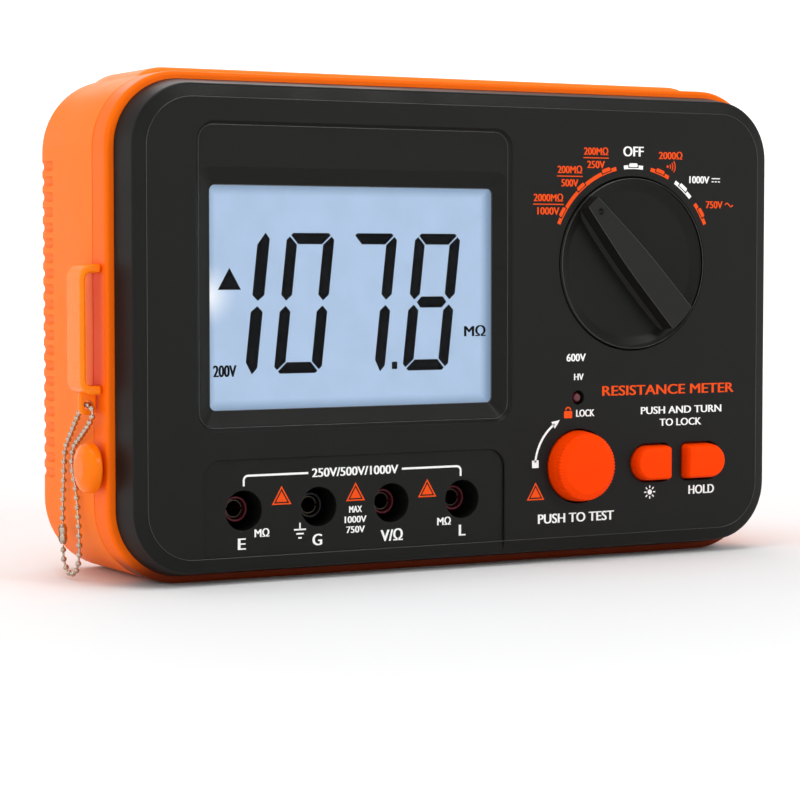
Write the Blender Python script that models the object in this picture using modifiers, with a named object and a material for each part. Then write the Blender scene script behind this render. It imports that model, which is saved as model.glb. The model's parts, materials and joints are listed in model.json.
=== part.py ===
"""Insulation resistance tester, standing upright on its long lower edge.

The face looks along -Y, +X is to its right and +Z is up. The origin is under the middle of
the tester, on the surface it stands on. Depth is measured backwards from the face.
"""
import math

import bmesh
import bpy
from mathutils import Matrix, Vector
from mathutils.geometry import interpolate_bezier

MM = 0.001

# ---- driving dimensions ------------------------------------------------------------------
CASE_WIDTH = 205.4 * MM          # orange case, across
CASE_HEIGHT = 132.8 * MM         # orange case, lower edge to upper edge
CASE_RADIUS = 20.0 * MM          # corner radius of the orange case
CASE_DEPTH = 56.0 * MM           # face to back
FACE_INSET = 3.75 * MM           # face edge inside the case outline
FLARE_INSET = 2.0 * MM           # rear edge of the cover's side wall inside the case outline
BORDER = 3.3 * MM                # sloping border round the face
COVER_DEPTH = 9.5 * MM           # depth of the cover's side wall
COVER_SKIN = 3.4 * MM            # thickness of the cover's front
LIP_DEPTH = 9.8 * MM             # front of the orange frame
SEAM_DEPTH = 18.75 * MM          # parting line between the frame and the rear shell
CASE_WALL = 3.2 * MM
GAP = 0.3 * MM                   # gap between pieces that touch
KNOB_RISE = 3.9 * MM             # how far the dial's bar stands in front of the face
TEST_RISE = 5.6 * MM             # how far the test button stands in front of the face
PAD_TOP = 134.7 * MM             # upper side of the raised pad along the top
PAD_WIDTH = 187.0 * MM

CASE_SIDE = CASE_WIDTH / 2
CENTRE_Z = CASE_HEIGHT / 2
FACE_Y = -(CASE_DEPTH - TEST_RISE) / 2
CORNER_STEPS = 5

# display
WINDOW_X = -34.6 * MM
WINDOW_RECESS = (94.2 * MM, 79.6 * MM, 5.0 * MM)      # width, height, corner radius
WINDOW_RECESS_Z = 79.8 * MM
LCD_VIEW = (84.8 * MM, 58.4 * MM, 1.6 * MM)
LCD_VIEW_Z = 74.3 * MM
RECESS_DEPTH = 1.0 * MM

# jacks
JACK_FIRST_X = -68.45 * MM
JACK_PITCH = 21.9 * MM
JACK_Z = 19.15 * MM
JACK_HOLE_RADIUS = 5.35 * MM
JACK_NAMES = ("earth", "guard", "volt", "line")
JACK_RECESS = (-80.1 * MM, 10.3 * MM, 32.4 * MM)      # left, right and top of the recess
JACK_RECESS_DEPTH = 0.8 * MM
JACK_RECESS_CORNER = 5.0 * MM
JACK_PANEL_LOW_Z = FACE_INSET + BORDER                # where the border's slope begins

# controls
DIAL_X, DIAL_Z = 52.35 * MM, 83.1 * MM
DIAL_RADIUS = 24.1 * MM
DIAL_POCKET_DEPTH = 3.8 * MM
DIAL_CLEARANCE = 0.4 * MM
DIAL_REST_ANGLE = math.radians(43)                    # anticlockwise from straight up
DIAL_BAR = ((23.2, 2.1), (16.0, 2.8), (0.0, 4.0), (-22.4, 4.4))   # along, half width, mm
TEST_X, TEST_Z = 34.5 * MM, 26.75 * MM
TEST_RADIUS = 9.9 * MM
KEY_Z = 26.7 * MM
KEY_HEIGHT = 9.9 * MM
KEY_RISE = 3.2 * MM
KEYS = (("backlight_button", 58.5 * MM, 12.3 * MM, 1),
        ("hold_button", 76.5 * MM, 13.4 * MM, -1))    # middle, width, side of the flat end
BUTTON_CLEARANCE = 0.5 * MM      # round the test button and the keys
LED_X, LED_Z = 34.25 * MM, 45.85 * MM

# side fittings
LOOP_DEPTHS = (12.1 * MM, 21.9 * MM)
LOOP_Z = (49.6 * MM, 83.1 * MM)
LOOP_RISE = 6.1 * MM
LOOP_BAR = 1.6 * MM
LOOP_ARM = 2.3 * MM
STUD_DEPTH, STUD_Z = 15.4 * MM, 30.7 * MM
SETBACKS = {-1: 0.0, 1: 5.4 * MM}                    # the right side's sit further back
LUG_RISE, LUG_Z, LUG_DEPTH = 2.7 * MM, 46.9 * MM, 16.5 * MM    # hole of the chain lug
LUG_X = -CASE_SIDE - LUG_RISE
GROOVE_COUNT = 21
GROOVE_PITCH = 4.11 * MM
GROOVE_LOW_Z = 27.0 * MM

# inside
BOARD_DEPTH = 15.0 * MM
BOARD_THICKNESS = 1.6 * MM
SCREW_X, SCREW_DZ = 87.0 * MM, 51.0 * MM
CELL_LENGTH = 50.2 * MM
CELL_DEPTH = 43.6 * MM
BAY_Z = 37.0 * MM
ROW_PITCH = 15.2 * MM
BAY = (115.0 * MM, 50.0 * MM)
DOOR_LEFT, DOOR_RIGHT = -58.0 * MM, 67.0 * MM
DOOR_HEIGHT = 51.0 * MM
DOOR_SCREW_X = 61.8 * MM

# folding stand
STAND_WIDTH = 100.0 * MM
STAND_TOP, STAND_BOTTOM = 113.5 * MM, 69.0 * MM       # hinge line and free edge
STAND_DEPTH = 53.9 * MM
STAND_THICKNESS = 3.4 * MM

# ball chain
CHAIN_RADIUS = 0.75 * MM
CLASP_RADIUS, CLASP_LENGTH = 1.15 * MM, 5.4 * MM
CLASP_RISE, CLASP_DEPTH, CLASP_Z = 1.6 * MM, 36.8 * MM, 11.6 * MM    # rise off the case's side

ORANGE = (0.95, 0.24, 0.03)
BLACK = (0.022, 0.022, 0.021)
STEEL = (0.62, 0.62, 0.63)


# ---- scene and objects -------------------------------------------------------------------
def clear_scene():
    for obj in list(bpy.data.objects):
        bpy.data.objects.remove(obj, do_unlink=True)


def new_collection(name):
    collection = bpy.data.collections.new(name)
    bpy.context.scene.collection.children.link(collection)
    return collection


def at(x, depth, z):
    """World position of a point at a depth behind the face."""
    return Vector((x, FACE_Y + depth, z))


def make_material(name, color, roughness, metallic=0.0, alpha=1.0):
    material = bpy.data.materials.new(name)
    material.use_nodes = True
    shader = material.node_tree.nodes["Principled BSDF"]
    shader.inputs["Base Color"].default_value = (*color, 1.0)
    shader.inputs["Roughness"].default_value = roughness
    shader.inputs["Metallic"].default_value = metallic
    shader.inputs["Alpha"].default_value = alpha
    return material


def add_object(name, mesh, look, origin=Vector()):
    """Link a mesh as a part, or as a hidden tool shape where look is None."""
    obj = bpy.data.objects.new(name, mesh)
    obj.location = origin
    if look is None:
        tools.objects.link(obj)
        obj.hide_render = True
        obj.display_type = "WIRE"
    else:
        parts.objects.link(obj)
        obj.data.materials.append(make_material(name, *look))
    return obj


def finish_mesh(name, bm, look, origin):
    bmesh.ops.recalc_face_normals(bm, faces=bm.faces)
    bmesh.ops.translate(bm, verts=bm.verts, vec=-origin)
    mesh = bpy.data.meshes.new(name)
    bm.to_mesh(mesh)
    bm.free()
    mesh.shade_smooth()
    mesh.set_sharp_from_angle(angle=math.radians(35))
    return add_object(name, mesh, look, origin)


# ---- shapes ------------------------------------------------------------------------------
def arc(centre_x, centre_z, radius, start, end, steps):
    """Points along an arc in the X-Z plane, angles in degrees anticlockwise from +X."""
    angles = [math.radians(start + (end - start) * i / steps) for i in range(steps + 1)]
    return [(centre_x + radius * math.cos(a), centre_z + radius * math.sin(a)) for a in angles]


def rounded(width, height, radius, centre=(0.0, CENTRE_Z)):
    """Outline of a rounded rectangle."""
    dx, dz = width / 2 - radius, height / 2 - radius
    corners = ((dx, dz, 0), (-dx, dz, 90), (-dx, -dz, 180), (dx, -dz, 270))
    outline = []
    for x, z, start in corners:
        outline += arc(centre[0] + x, centre[1] + z, radius, start, start + 90, CORNER_STEPS)
    return outline


def inset_case(inset):
    """Outline of the case, drawn in by an inset all round."""
    return rounded(CASE_WIDTH - 2 * inset, CASE_HEIGHT - 2 * inset, CASE_RADIUS - inset)


def loft(name, sections, look=None, origin=None):
    """Solid through outlines with equal point counts, each section as (depth, outline)."""
    bm = bmesh.new()
    rings = [[bm.verts.new(at(x, depth, z)) for x, z in outline] for depth, outline in sections]
    for front, back in zip(rings, rings[1:]):
        for i in range(len(front)):
            j = (i + 1) % len(front)
            bm.faces.new((front[i], front[j], back[j], back[i]))
    bm.faces.new(rings[0])
    bm.faces.new(rings[-1])
    if origin is None:
        origin = sum((v.co for v in bm.verts), Vector()) / len(bm.verts)
    return finish_mesh(name, bm, look, origin)


def block(name, x_range, depth_range, z_range, look=None, radius=0.0, origin=None):
    """Box with its edges along Y rounded."""
    width, height = x_range[1] - x_range[0], z_range[1] - z_range[0]
    centre = (sum(x_range) / 2, sum(z_range) / 2)
    if radius > 0:
        outline = rounded(width, height, radius, centre)
    else:
        corners = ((1, 1), (-1, 1), (-1, -1), (1, -1))
        outline = [(centre[0] + sx * width / 2, centre[1] + sz * height / 2)
                   for sx, sz in corners]
    return loft(name, [(depth, outline) for depth in depth_range], look, origin)


def rods(name, centres, radius, depth_range, look=None, sides=14, along="Y"):
    """Round bars: centres are (x, depth or start, z), the range runs along the bar."""
    length = depth_range[1] - depth_range[0]
    middle = sum(depth_range) / 2
    turn = Matrix.Rotation(math.pi / 2, 4, "X" if along == "Y" else "Y")
    bm = bmesh.new()
    for first, second in centres:
        place = at(first, middle, second) if along == "Y" else at(middle, first, second)
        bmesh.ops.create_cone(bm, cap_ends=True, segments=sides, radius1=radius,
                              radius2=radius, depth=length,
                              matrix=Matrix.Translation(place) @ turn)
    origin = sum((v.co for v in bm.verts), Vector()) / len(bm.verts)
    return finish_mesh(name, bm, look, origin)


def turned(name, profile, place, look=None, steps=20, facing="front", closed=False):
    """Turned solid: profile is (radius, height) and runs down its outer side.

    Height is measured out of the face, or out of the left or right side of the case.
    """
    mesh = bpy.data.meshes.new(name)
    points = [(radius, 0.0, height) for radius, height in profile]
    edges = [(i, i + 1) for i in range(len(points) - 1)]
    if closed:
        edges.append((len(points) - 1, 0))
    mesh.from_pydata(points, edges, [])
    obj = add_object(name, mesh, look, place)
    obj.rotation_euler = {"front": (math.pi / 2, 0, 0), "back": (-math.pi / 2, 0, 0),
                          "left": (0, -math.pi / 2, 0), "right": (0, math.pi / 2, 0)}[facing]
    screw = obj.modifiers.new("Turn", "SCREW")
    screw.angle = math.tau
    screw.steps = screw.render_steps = steps
    screw.use_merge_vertices = True
    screw.merge_threshold = 0.00001
    screw.use_smooth_shade = True
    return obj


def boolean(target, operand, operation):
    modifier = target.modifiers.new(operand.name, "BOOLEAN")
    modifier.operation = operation
    modifier.solver = "EXACT"
    modifier.object = operand


def cut(target, *operands):
    for operand in operands:
        boolean(target, operand, "DIFFERENCE")


def join(target, *operands):
    for operand in operands:
        boolean(target, operand, "UNION")


def screw_places():
    return [(sx * SCREW_X, CENTRE_Z + sz * SCREW_DZ) for sz in (1, -1) for sx in (-1, 1)]


def jack_places():
    return [(name, JACK_FIRST_X + i * JACK_PITCH) for i, name in enumerate(JACK_NAMES)]


# ---- case --------------------------------------------------------------------------------
def key_outline(x, width, flat_side, grow=0.0):
    """Outline of a D shaped key, with its flat end at flat_side (-1 or +1)."""
    half_width, half_height = width / 2 + grow, KEY_HEIGHT / 2 + grow
    corner = 1.2 * MM + max(grow, 0.0)
    round_x = x - flat_side * (half_width - half_height)
    flat_x = x + flat_side * (half_width - corner)
    start = 90 if flat_side > 0 else -90
    outline = arc(round_x, KEY_Z, half_height, start, start + 180, 8)
    outline += arc(flat_x, KEY_Z - flat_side * (half_height - corner), corner,
                   start + 180, start + 270, 2)
    outline += arc(flat_x, KEY_Z + flat_side * (half_height - corner), corner,
                   start + 270, start + 360, 2)
    return outline


def make_front_cover():
    """Black front cover: sloping border, flared side wall and a tongue into the frame."""
    tongue = inset_case(FLARE_INSET + 1.7 * MM)
    cover = loft("front_cover", [
        (0.0, inset_case(FACE_INSET + BORDER)),
        (0.9 * MM, inset_case(FACE_INSET)),
        (1.7 * MM, inset_case(FACE_INSET - 0.4 * MM)),
        (COVER_DEPTH, inset_case(FLARE_INSET)),
        (COVER_DEPTH, tongue),
        (13.0 * MM, tongue)], (BLACK, 0.5))
    cavity_outline = inset_case(FACE_INSET + 3.1 * MM)
    cut(cover, loft("cover_cavity", [(COVER_SKIN, cavity_outline), (20 * MM, cavity_outline)]))
    join(cover, rods("cover_bosses", screw_places(), 3.4 * MM, (3.0 * MM, 18.4 * MM)))
    cut(cover, rods("boss_bores", screw_places(), 1.8 * MM, (8.0 * MM, 20.0 * MM), sides=8))

    width, height, corner = WINDOW_RECESS
    recess_centre = (WINDOW_X, WINDOW_RECESS_Z)
    recess = rounded(width, height, corner, recess_centre)
    recess_floor = rounded(width - 1.6 * MM, height - 1.6 * MM, corner - 0.8 * MM, recess_centre)
    cut(cover, loft("window_recess", [(-1 * MM, recess), (0.2 * MM, recess),
                                      (RECESS_DEPTH, recess_floor)]))
    view = rounded(*LCD_VIEW, (WINDOW_X, LCD_VIEW_Z))
    slope = rounded(LCD_VIEW[0] + 7.0 * MM, LCD_VIEW[1] + 8.4 * MM, 2.6 * MM,
                    (WINDOW_X, LCD_VIEW_Z + 0.2 * MM))
    cut(cover, loft("window_opening", [(0.4 * MM, slope), (RECESS_DEPTH, slope),
                                       (3.1 * MM, view), (6 * MM, view)]))

    left, right, top = JACK_RECESS
    cut(cover, block("jack_recess", (left, right), (-1 * MM, JACK_RECESS_DEPTH),
                     (-20 * MM, top), radius=JACK_RECESS_CORNER))
    cut(cover, block("jack_opening", (left, right), (-1 * MM, 6 * MM),
                     (JACK_PANEL_LOW_Z, top), radius=JACK_RECESS_CORNER))

    join(cover, rods("dial_seat", [(DIAL_X, DIAL_Z)], DIAL_RADIUS + 2.3 * MM,
                     (COVER_SKIN - 0.4 * MM, DIAL_POCKET_DEPTH + 2.4 * MM), sides=40))
    cut(cover, rods("dial_pocket", [(DIAL_X, DIAL_Z)], DIAL_RADIUS + DIAL_CLEARANCE,
                    (-1 * MM, DIAL_POCKET_DEPTH), sides=40))
    cut(cover, rods("dial_hole", [(DIAL_X, DIAL_Z)], 6.6 * MM, (1 * MM, 8 * MM), sides=20))
    cut(cover, rods("test_hole", [(TEST_X, TEST_Z)], TEST_RADIUS + BUTTON_CLEARANCE,
                    (-1 * MM, 6 * MM), sides=28))
    cut(cover, rods("led_hole", [(LED_X, LED_Z)], 1.9 * MM, (-1 * MM, 6 * MM), sides=12))
    for name, x, width, flat_side in KEYS:
        outline = key_outline(x, width, flat_side, BUTTON_CLEARANCE)
        cut(cover, loft(name + "_hole", [(-1 * MM, outline), (6 * MM, outline)]))


def make_jack_panel():
    """Plate that holds the jacks: it fills the recess, with a flange behind the cover."""
    left, right, top = JACK_RECESS
    low, flange = JACK_PANEL_LOW_Z + GAP, 1.5 * MM
    panel = block("jack_panel", (left + GAP, right - GAP), (JACK_RECESS_DEPTH, 4.0 * MM),
                  (low, top - GAP), (BLACK, 0.5), radius=JACK_RECESS_CORNER - GAP)
    join(panel, block("panel_flange", (left - flange, right + flange),
                      (COVER_SKIN + GAP, 4.9 * MM), (low + 1 * MM, top + flange),
                      radius=JACK_RECESS_CORNER))
    cut(panel, block("panel_hollow", (left + 2 * MM, right - 2 * MM), (COVER_SKIN, 6 * MM),
                     (low + 2 * MM, top - 2 * MM), radius=3 * MM))
    holes = [(x, JACK_Z) for name, x in jack_places()]
    cut(panel, rods("jack_holes", holes, JACK_HOLE_RADIUS, (-1 * MM, 6 * MM), sides=20))


def make_front_frame():
    """Orange frame that shows as a bright lip round the cover."""
    frame = loft("front_frame", [
        (LIP_DEPTH, inset_case(0.9 * MM)),
        (LIP_DEPTH + 0.9 * MM, inset_case(0.0)),
        (SEAM_DEPTH - GAP / 2, inset_case(0.0))], (ORANGE, 0.45))
    opening = inset_case(FLARE_INSET + 1.4 * MM)
    cut(frame, loft("frame_opening", [(5 * MM, opening), (25 * MM, opening)]))


def make_rear_shell():
    """Orange rear shell: grip grooves, screw bosses, battery opening and stand pocket."""
    shell = loft("rear_shell", [
        (SEAM_DEPTH + GAP / 2, inset_case(0.0)),
        (CASE_DEPTH - 2.0 * MM, inset_case(0.0)),
        (CASE_DEPTH - 0.6 * MM, inset_case(0.8 * MM)),
        (CASE_DEPTH, inset_case(2.2 * MM))], (ORANGE, 0.45))
    join(shell, block("top_pad", (-PAD_WIDTH / 2, PAD_WIDTH / 2), (22 * MM, 53.4 * MM),
                      (100 * MM, PAD_TOP), radius=13 * MM))
    cavity = inset_case(CASE_WALL)
    cut(shell, loft("shell_cavity", [(10 * MM, cavity), (CASE_DEPTH - 2.8 * MM, cavity)]))

    join(shell, rods("shell_bosses", screw_places(), 4.6 * MM, (19.0 * MM, 54.0 * MM)))
    cut(shell, rods("screw_counterbores", screw_places(), 3.4 * MM, (47 * MM, 58 * MM)))
    cut(shell, rods("screw_bores", screw_places(), 1.8 * MM, (15 * MM, 50 * MM), sides=8))

    door_z = (BAY_Z - DOOR_HEIGHT / 2 - GAP, BAY_Z + DOOR_HEIGHT / 2 + GAP)
    join(shell, rods("door_boss", [(DOOR_SCREW_X, BAY_Z)], 3.6 * MM, (42 * MM, 54 * MM)))
    cut(shell, block("door_recess", (DOOR_LEFT - GAP, DOOR_RIGHT + GAP),
                     (CASE_DEPTH - 1.7 * MM, 60 * MM), door_z, radius=2.5 * MM))
    cut(shell, block("bay_opening", (-55 * MM, 55 * MM), (45 * MM, 60 * MM),
                     (BAY_Z - 23 * MM, BAY_Z + 23 * MM), radius=2 * MM))
    cut(shell, rods("door_bore", [(DOOR_SCREW_X, BAY_Z)], 1.6 * MM, (45 * MM, 60 * MM), sides=8))

    half = STAND_WIDTH / 2
    join(shell, block("stand_seat", (-half - 6 * MM, half + 6 * MM), (48.2 * MM, 54 * MM),
                      (STAND_BOTTOM - 6 * MM, STAND_TOP + 5 * MM)))
    cut(shell, block("stand_pocket", (-half - 0.4 * MM, half + 0.4 * MM), (51.2 * MM, 60 * MM),
                     (STAND_BOTTOM - 0.5 * MM, STAND_TOP + 2.4 * MM)))
    cut(shell, block("finger_notch", (-11 * MM, 11 * MM), (51.9 * MM, 60 * MM),
                     (STAND_BOTTOM - 4.5 * MM, STAND_BOTTOM + 1 * MM), radius=2 * MM))
    hinge_line = [(STAND_DEPTH, STAND_TOP)]
    cut(shell, rods("pin_bore", hinge_line, 1.3 * MM, (-half - 4.6 * MM, half + 4.6 * MM),
                    sides=10, along="X"))

    grooves = [(side * (CASE_SIDE + 0.55 * MM), GROOVE_LOW_Z + i * GROOVE_PITCH)
               for side in (-1, 1) for i in range(GROOVE_COUNT)]
    cut(shell, rods("grip_grooves", grooves, 1.35 * MM, (46.2 * MM, 60 * MM), sides=8))


def make_case_screws():
    profile = ((0, 1.3), (1.0, 1.3), (1.2, 2.4), (2.6, 2.4), (3.0, 1.9), (3.0, 0.0),
               (1.5, 0.0), (1.5, -37.0), (0, -37.0))
    head_at = 47.3 * MM
    for i, (x, z) in enumerate(screw_places(), 1):
        turned(f"case_screw_{i}", [(r * MM, h * MM) for r, h in profile],
               at(x, head_at, z), (STEEL, 0.3, 1.0), steps=12, facing="back")


# ---- side fittings -----------------------------------------------------------------------
def loop_outline(side):
    """Outline of a strap loop: a bar held off the case by an arm at each end."""
    root = side * (CASE_SIDE + GAP)
    outer = side * (CASE_SIDE + LOOP_RISE)
    inner = outer - side * LOOP_BAR
    low, high = LOOP_Z
    big, small = 3.6 * MM, 1.6 * MM

    def corner(x, z, radius, start, end):
        if side < 0:
            start, end = 180 - start, 180 - end
        return arc(x, z, radius, start, end, 4)

    outline = [(root, low), *corner(outer - side * big, low + big, big, -90, 0)]
    outline += [*corner(outer - side * big, high - big, big, 0, 90), (root, high)]
    outline += [(root, high - LOOP_ARM)]
    outline += corner(inner - side * small, high - LOOP_ARM - small, small, 90, 0)
    outline += corner(inner - side * small, low + LOOP_ARM + small, small, 0, -90)
    outline += [(root, low + LOOP_ARM)]
    return outline


def make_strap_loops():
    for name, side in (("left", -1), ("right", 1)):
        outline = loop_outline(side)
        loop = loft(f"strap_loop_{name}",
                    [(depth + SETBACKS[side], outline) for depth in LOOP_DEPTHS], (ORANGE, 0.45))
        if name == "left":
            tab = block("chain_lug", (LUG_X - 2.4 * MM, -CASE_SIDE - GAP),
                        (LUG_DEPTH - 1 * MM, LUG_DEPTH + 1 * MM),
                        (LUG_Z - 2.6 * MM, LOOP_Z[0] + 1 * MM))
            join(loop, tab)
            cut(loop, rods("lug_hole", [(LUG_X, LUG_Z)], 1.35 * MM,
                           (LUG_DEPTH - 3 * MM, LUG_DEPTH + 3 * MM), sides=12))


def make_strap_studs():
    profile = ((0, 5.7), (3.6, 5.5), (5.4, 5.0), (6.3, 4.1), (6.5, 3.2), (6.4, 1.9),
               (5.9, 1.4), (3.0, 1.3), (3.0, 0.3), (0, 0.3))
    for name, side in (("left", -1), ("right", 1)):
        turned(f"strap_stud_{name}", [(r * MM, h * MM) for r, h in profile],
               at(side * CASE_SIDE, STUD_DEPTH + SETBACKS[side], STUD_Z), (ORANGE, 0.35), steps=20,
               facing=name)


# ---- controls ----------------------------------------------------------------------------
def bar_outline(flare, place):
    """Outline of the dial's pointer bar, widened by a flare, turned to its rest angle."""
    side = [(half_width * MM + flare, along * MM) for along, half_width in DIAL_BAR]
    outline = side + [(-x, along) for x, along in reversed(side)]
    sine, cosine = math.sin(DIAL_REST_ANGLE), math.cos(DIAL_REST_ANGLE)
    return [(place.x + x * cosine - along * sine, place.z + x * sine + along * cosine)
            for x, along in outline]


def make_dial():
    """Range dial: dished disc with a raised pointer bar, on a shaft through the cover."""
    profile = ((0, -1.7), (17.0, -1.7), (21.5, -1.3), (23.2, -0.6), (23.7, -0.5), (24.1, -0.9),
               (24.1, -3.5), (6.0, -3.5), (6.0, -14.4), (0, -14.4))
    place = at(DIAL_X, 0, DIAL_Z)
    dial = turned("range_dial", [(r * MM, h * MM) for r, h in profile], place,
                  (BLACK, 0.4), steps=36)
    join(dial, loft("dial_bar", [(-KNOB_RISE, bar_outline(0.0, place)),
                                 (2.4 * MM, bar_outline(1.0 * MM, place))]))

    ring = ((17.0, -11.6), (17.0, -14.6), (6.3, -14.6), (6.3, -11.6))
    turned("dial_rotor", [(r * MM, h * MM) for r, h in ring], place,
           ((0.75, 0.72, 0.62), 0.5), steps=20, closed=True)


def make_test_button():
    """Round push button: a tapered cap that turns on a plunger."""
    cap = ((0, 5.6), (7.2, 5.5), (8.6, 5.2), (9.2, 4.6), (9.6, 2.4), (9.9, -0.4),
           (9.9, -6.0), (8.6, -6.0), (8.6, 2.0), (0, 2.0))
    place = at(TEST_X, 0, TEST_Z)
    turned("test_button", [(r * MM, h * MM) for r, h in cap], place, (ORANGE, 0.4), steps=28)
    stem = ((0, 1.7), (8.1, 1.7), (8.1, -4.5), (3.0, -4.5), (3.0, -9.6), (0, -9.6))
    turned("test_plunger", [(r * MM, h * MM) for r, h in stem], place,
           ((0.7, 0.7, 0.68), 0.5), steps=16)
    block("test_switch", (TEST_X - 6 * MM, TEST_X + 6 * MM), (12.4 * MM, 14.7 * MM),
          (TEST_Z - 6 * MM, TEST_Z + 6 * MM), (BLACK, 0.5), radius=0.8 * MM)


def make_keys():
    """Backlight and hold keys, kept in by a flange behind the cover."""
    crown = ((0.0, -1.5), (0.3, -0.8), (1.0, -0.4))       # depth below the top, growth
    skirt = ((0.0, 0.0), (3.9, 0.0), (3.9, 1.2), (5.2, 1.2), (5.2, -1.5), (10.0, -1.5))
    for name, x, width, flat_side in KEYS:
        steps = [(depth * MM - KEY_RISE, grow * MM) for depth, grow in crown]
        steps += [(depth * MM, grow * MM) for depth, grow in skirt]
        sections = [(depth, key_outline(x, width, flat_side, grow)) for depth, grow in steps]
        loft(name, sections, (ORANGE, 0.4), origin=at(x, 0, KEY_Z))
    centres = [(x, KEY_Z) for name, x, width, flat_side in KEYS]
    pad = block("button_pad", (48 * MM, 88.5 * MM), (12.6 * MM, 14.7 * MM),
                (KEY_Z - 7 * MM, KEY_Z + 7 * MM), ((0.75, 0.75, 0.73), 0.7), radius=2 * MM)
    join(pad, rods("pad_domes", centres, 3.2 * MM, (11.5 * MM, 13.5 * MM)))


def make_led():
    profile = ((0, -0.4), (0.8, -0.6), (1.35, -1.2), (1.5, -2.0), (1.5, -8.0), (1.9, -8.0),
               (1.9, -9.0), (1.2, -9.0), (1.2, -14.7), (0, -14.7))
    turned("hv_led", [(r * MM, h * MM) for r, h in profile], at(LED_X, 0, LED_Z),
           ((0.25, 0.02, 0.02), 0.2), steps=12)


# ---- jacks -------------------------------------------------------------------------------
def make_jacks():
    """Each jack: an insulating cup with a sleeve in its middle, and a contact tube in that."""
    cup = ((7.3, -3.7), (7.3, -26.0), (2.8, -26.0), (2.8, -5.8), (3.4, -5.8), (3.4, -24.0),
           (5.6, -24.0), (5.6, -3.7))
    tube = ((0, -23.0), (2.0, -23.0), (2.0, -7.0), (2.5, -7.0), (2.5, -26.4), (1.2, -26.4),
            (1.2, -31.0), (0, -31.0))
    for name, x in jack_places():
        place = at(x, 0, JACK_Z)
        color = BLACK if name == "guard" else (0.22, 0.03, 0.035)
        turned(f"jack_body_{name}", [(r * MM, h * MM) for r, h in cup], place,
               (color, 0.45), steps=16, closed=True)
        turned(f"jack_contact_{name}", [(r * MM, h * MM) for r, h in tube], place,
               ((0.75, 0.62, 0.35), 0.3, 1.0), steps=12)


# ---- display -----------------------------------------------------------------------------
def make_display():
    centre = (WINDOW_X, LCD_VIEW_Z)

    def plate(name, size, depths, look, radius=1.5 * MM, shift=0.0):
        outline = rounded(size[0], size[1], radius, (centre[0], centre[1] + shift))
        loft(name, [(depth, outline) for depth in depths], look)

    plate("display_window", (92 * MM, 66 * MM), (3.7 * MM, 4.7 * MM),
          ((0.9, 0.93, 0.95), 0.05, 0.0, 0.2))
    plate("lcd_panel", (90 * MM, 64.5 * MM), (5.0 * MM, 7.2 * MM), ((0.6, 0.68, 0.78), 0.2))
    plate("lcd_backlight", (86 * MM, 58 * MM), (7.5 * MM, 12.4 * MM),
          ((0.85, 0.9, 0.95), 0.4), shift=1.6 * MM)
    block("lcd_connector", (WINDOW_X - 40 * MM, WINDOW_X + 40 * MM), (7.5 * MM, 14.7 * MM),
          (42.7 * MM, 44.7 * MM), ((0.3, 0.3, 0.32), 0.8))


# ---- circuit -----------------------------------------------------------------------------
def make_circuit():
    board = block("main_board", (-93 * MM, 93 * MM), (BOARD_DEPTH, BOARD_DEPTH + BOARD_THICKNESS),
                  (9.5 * MM, 123.5 * MM), ((0.03, 0.22, 0.09), 0.45), radius=3 * MM)
    cut(board, block("jack_clearance", (-100 * MM, 13 * MM), (10 * MM, 20 * MM),
                     (-10 * MM, 30 * MM)))
    cut(board, rods("board_holes", screw_places(), 3.9 * MM, (10 * MM, 20 * MM), sides=12))

    front = BOARD_DEPTH + BOARD_THICKNESS + GAP
    core = block("hv_transformer", (46 * MM, 74 * MM), (front, 38 * MM), (88 * MM, 112 * MM),
                 ((0.12, 0.1, 0.09), 0.6), radius=1.2 * MM)
    join(core, rods("transformer_winding", [(60 * MM, 100 * MM)], 13.5 * MM,
                    (front + 3 * MM, 34 * MM), sides=20))
    rods("hv_capacitor", [(front + 6.5 * MM, 104 * MM)], 6.5 * MM, (4 * MM, 30 * MM),
         ((0.04, 0.06, 0.16), 0.35), along="X")
    rods("fuse", [(front + 2.6 * MM, 86 * MM)], 2.6 * MM, (8 * MM, 28 * MM),
         ((0.8, 0.8, 0.75), 0.2), sides=10, along="X")
    rods("buzzer", [(-64 * MM, 102 * MM)], 6.0 * MM, (front, front + 8 * MM),
         (BLACK, 0.5), sides=18)
    block("measuring_chip", (-42 * MM, -26 * MM), (front, front + 1.6 * MM),
          (76 * MM, 92 * MM), (BLACK, 0.5))
    block("relay", (-12 * MM, 0 * MM), (front, front + 10 * MM), (98 * MM, 114 * MM),
          ((0.05, 0.12, 0.3), 0.5), radius=0.8 * MM)


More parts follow.
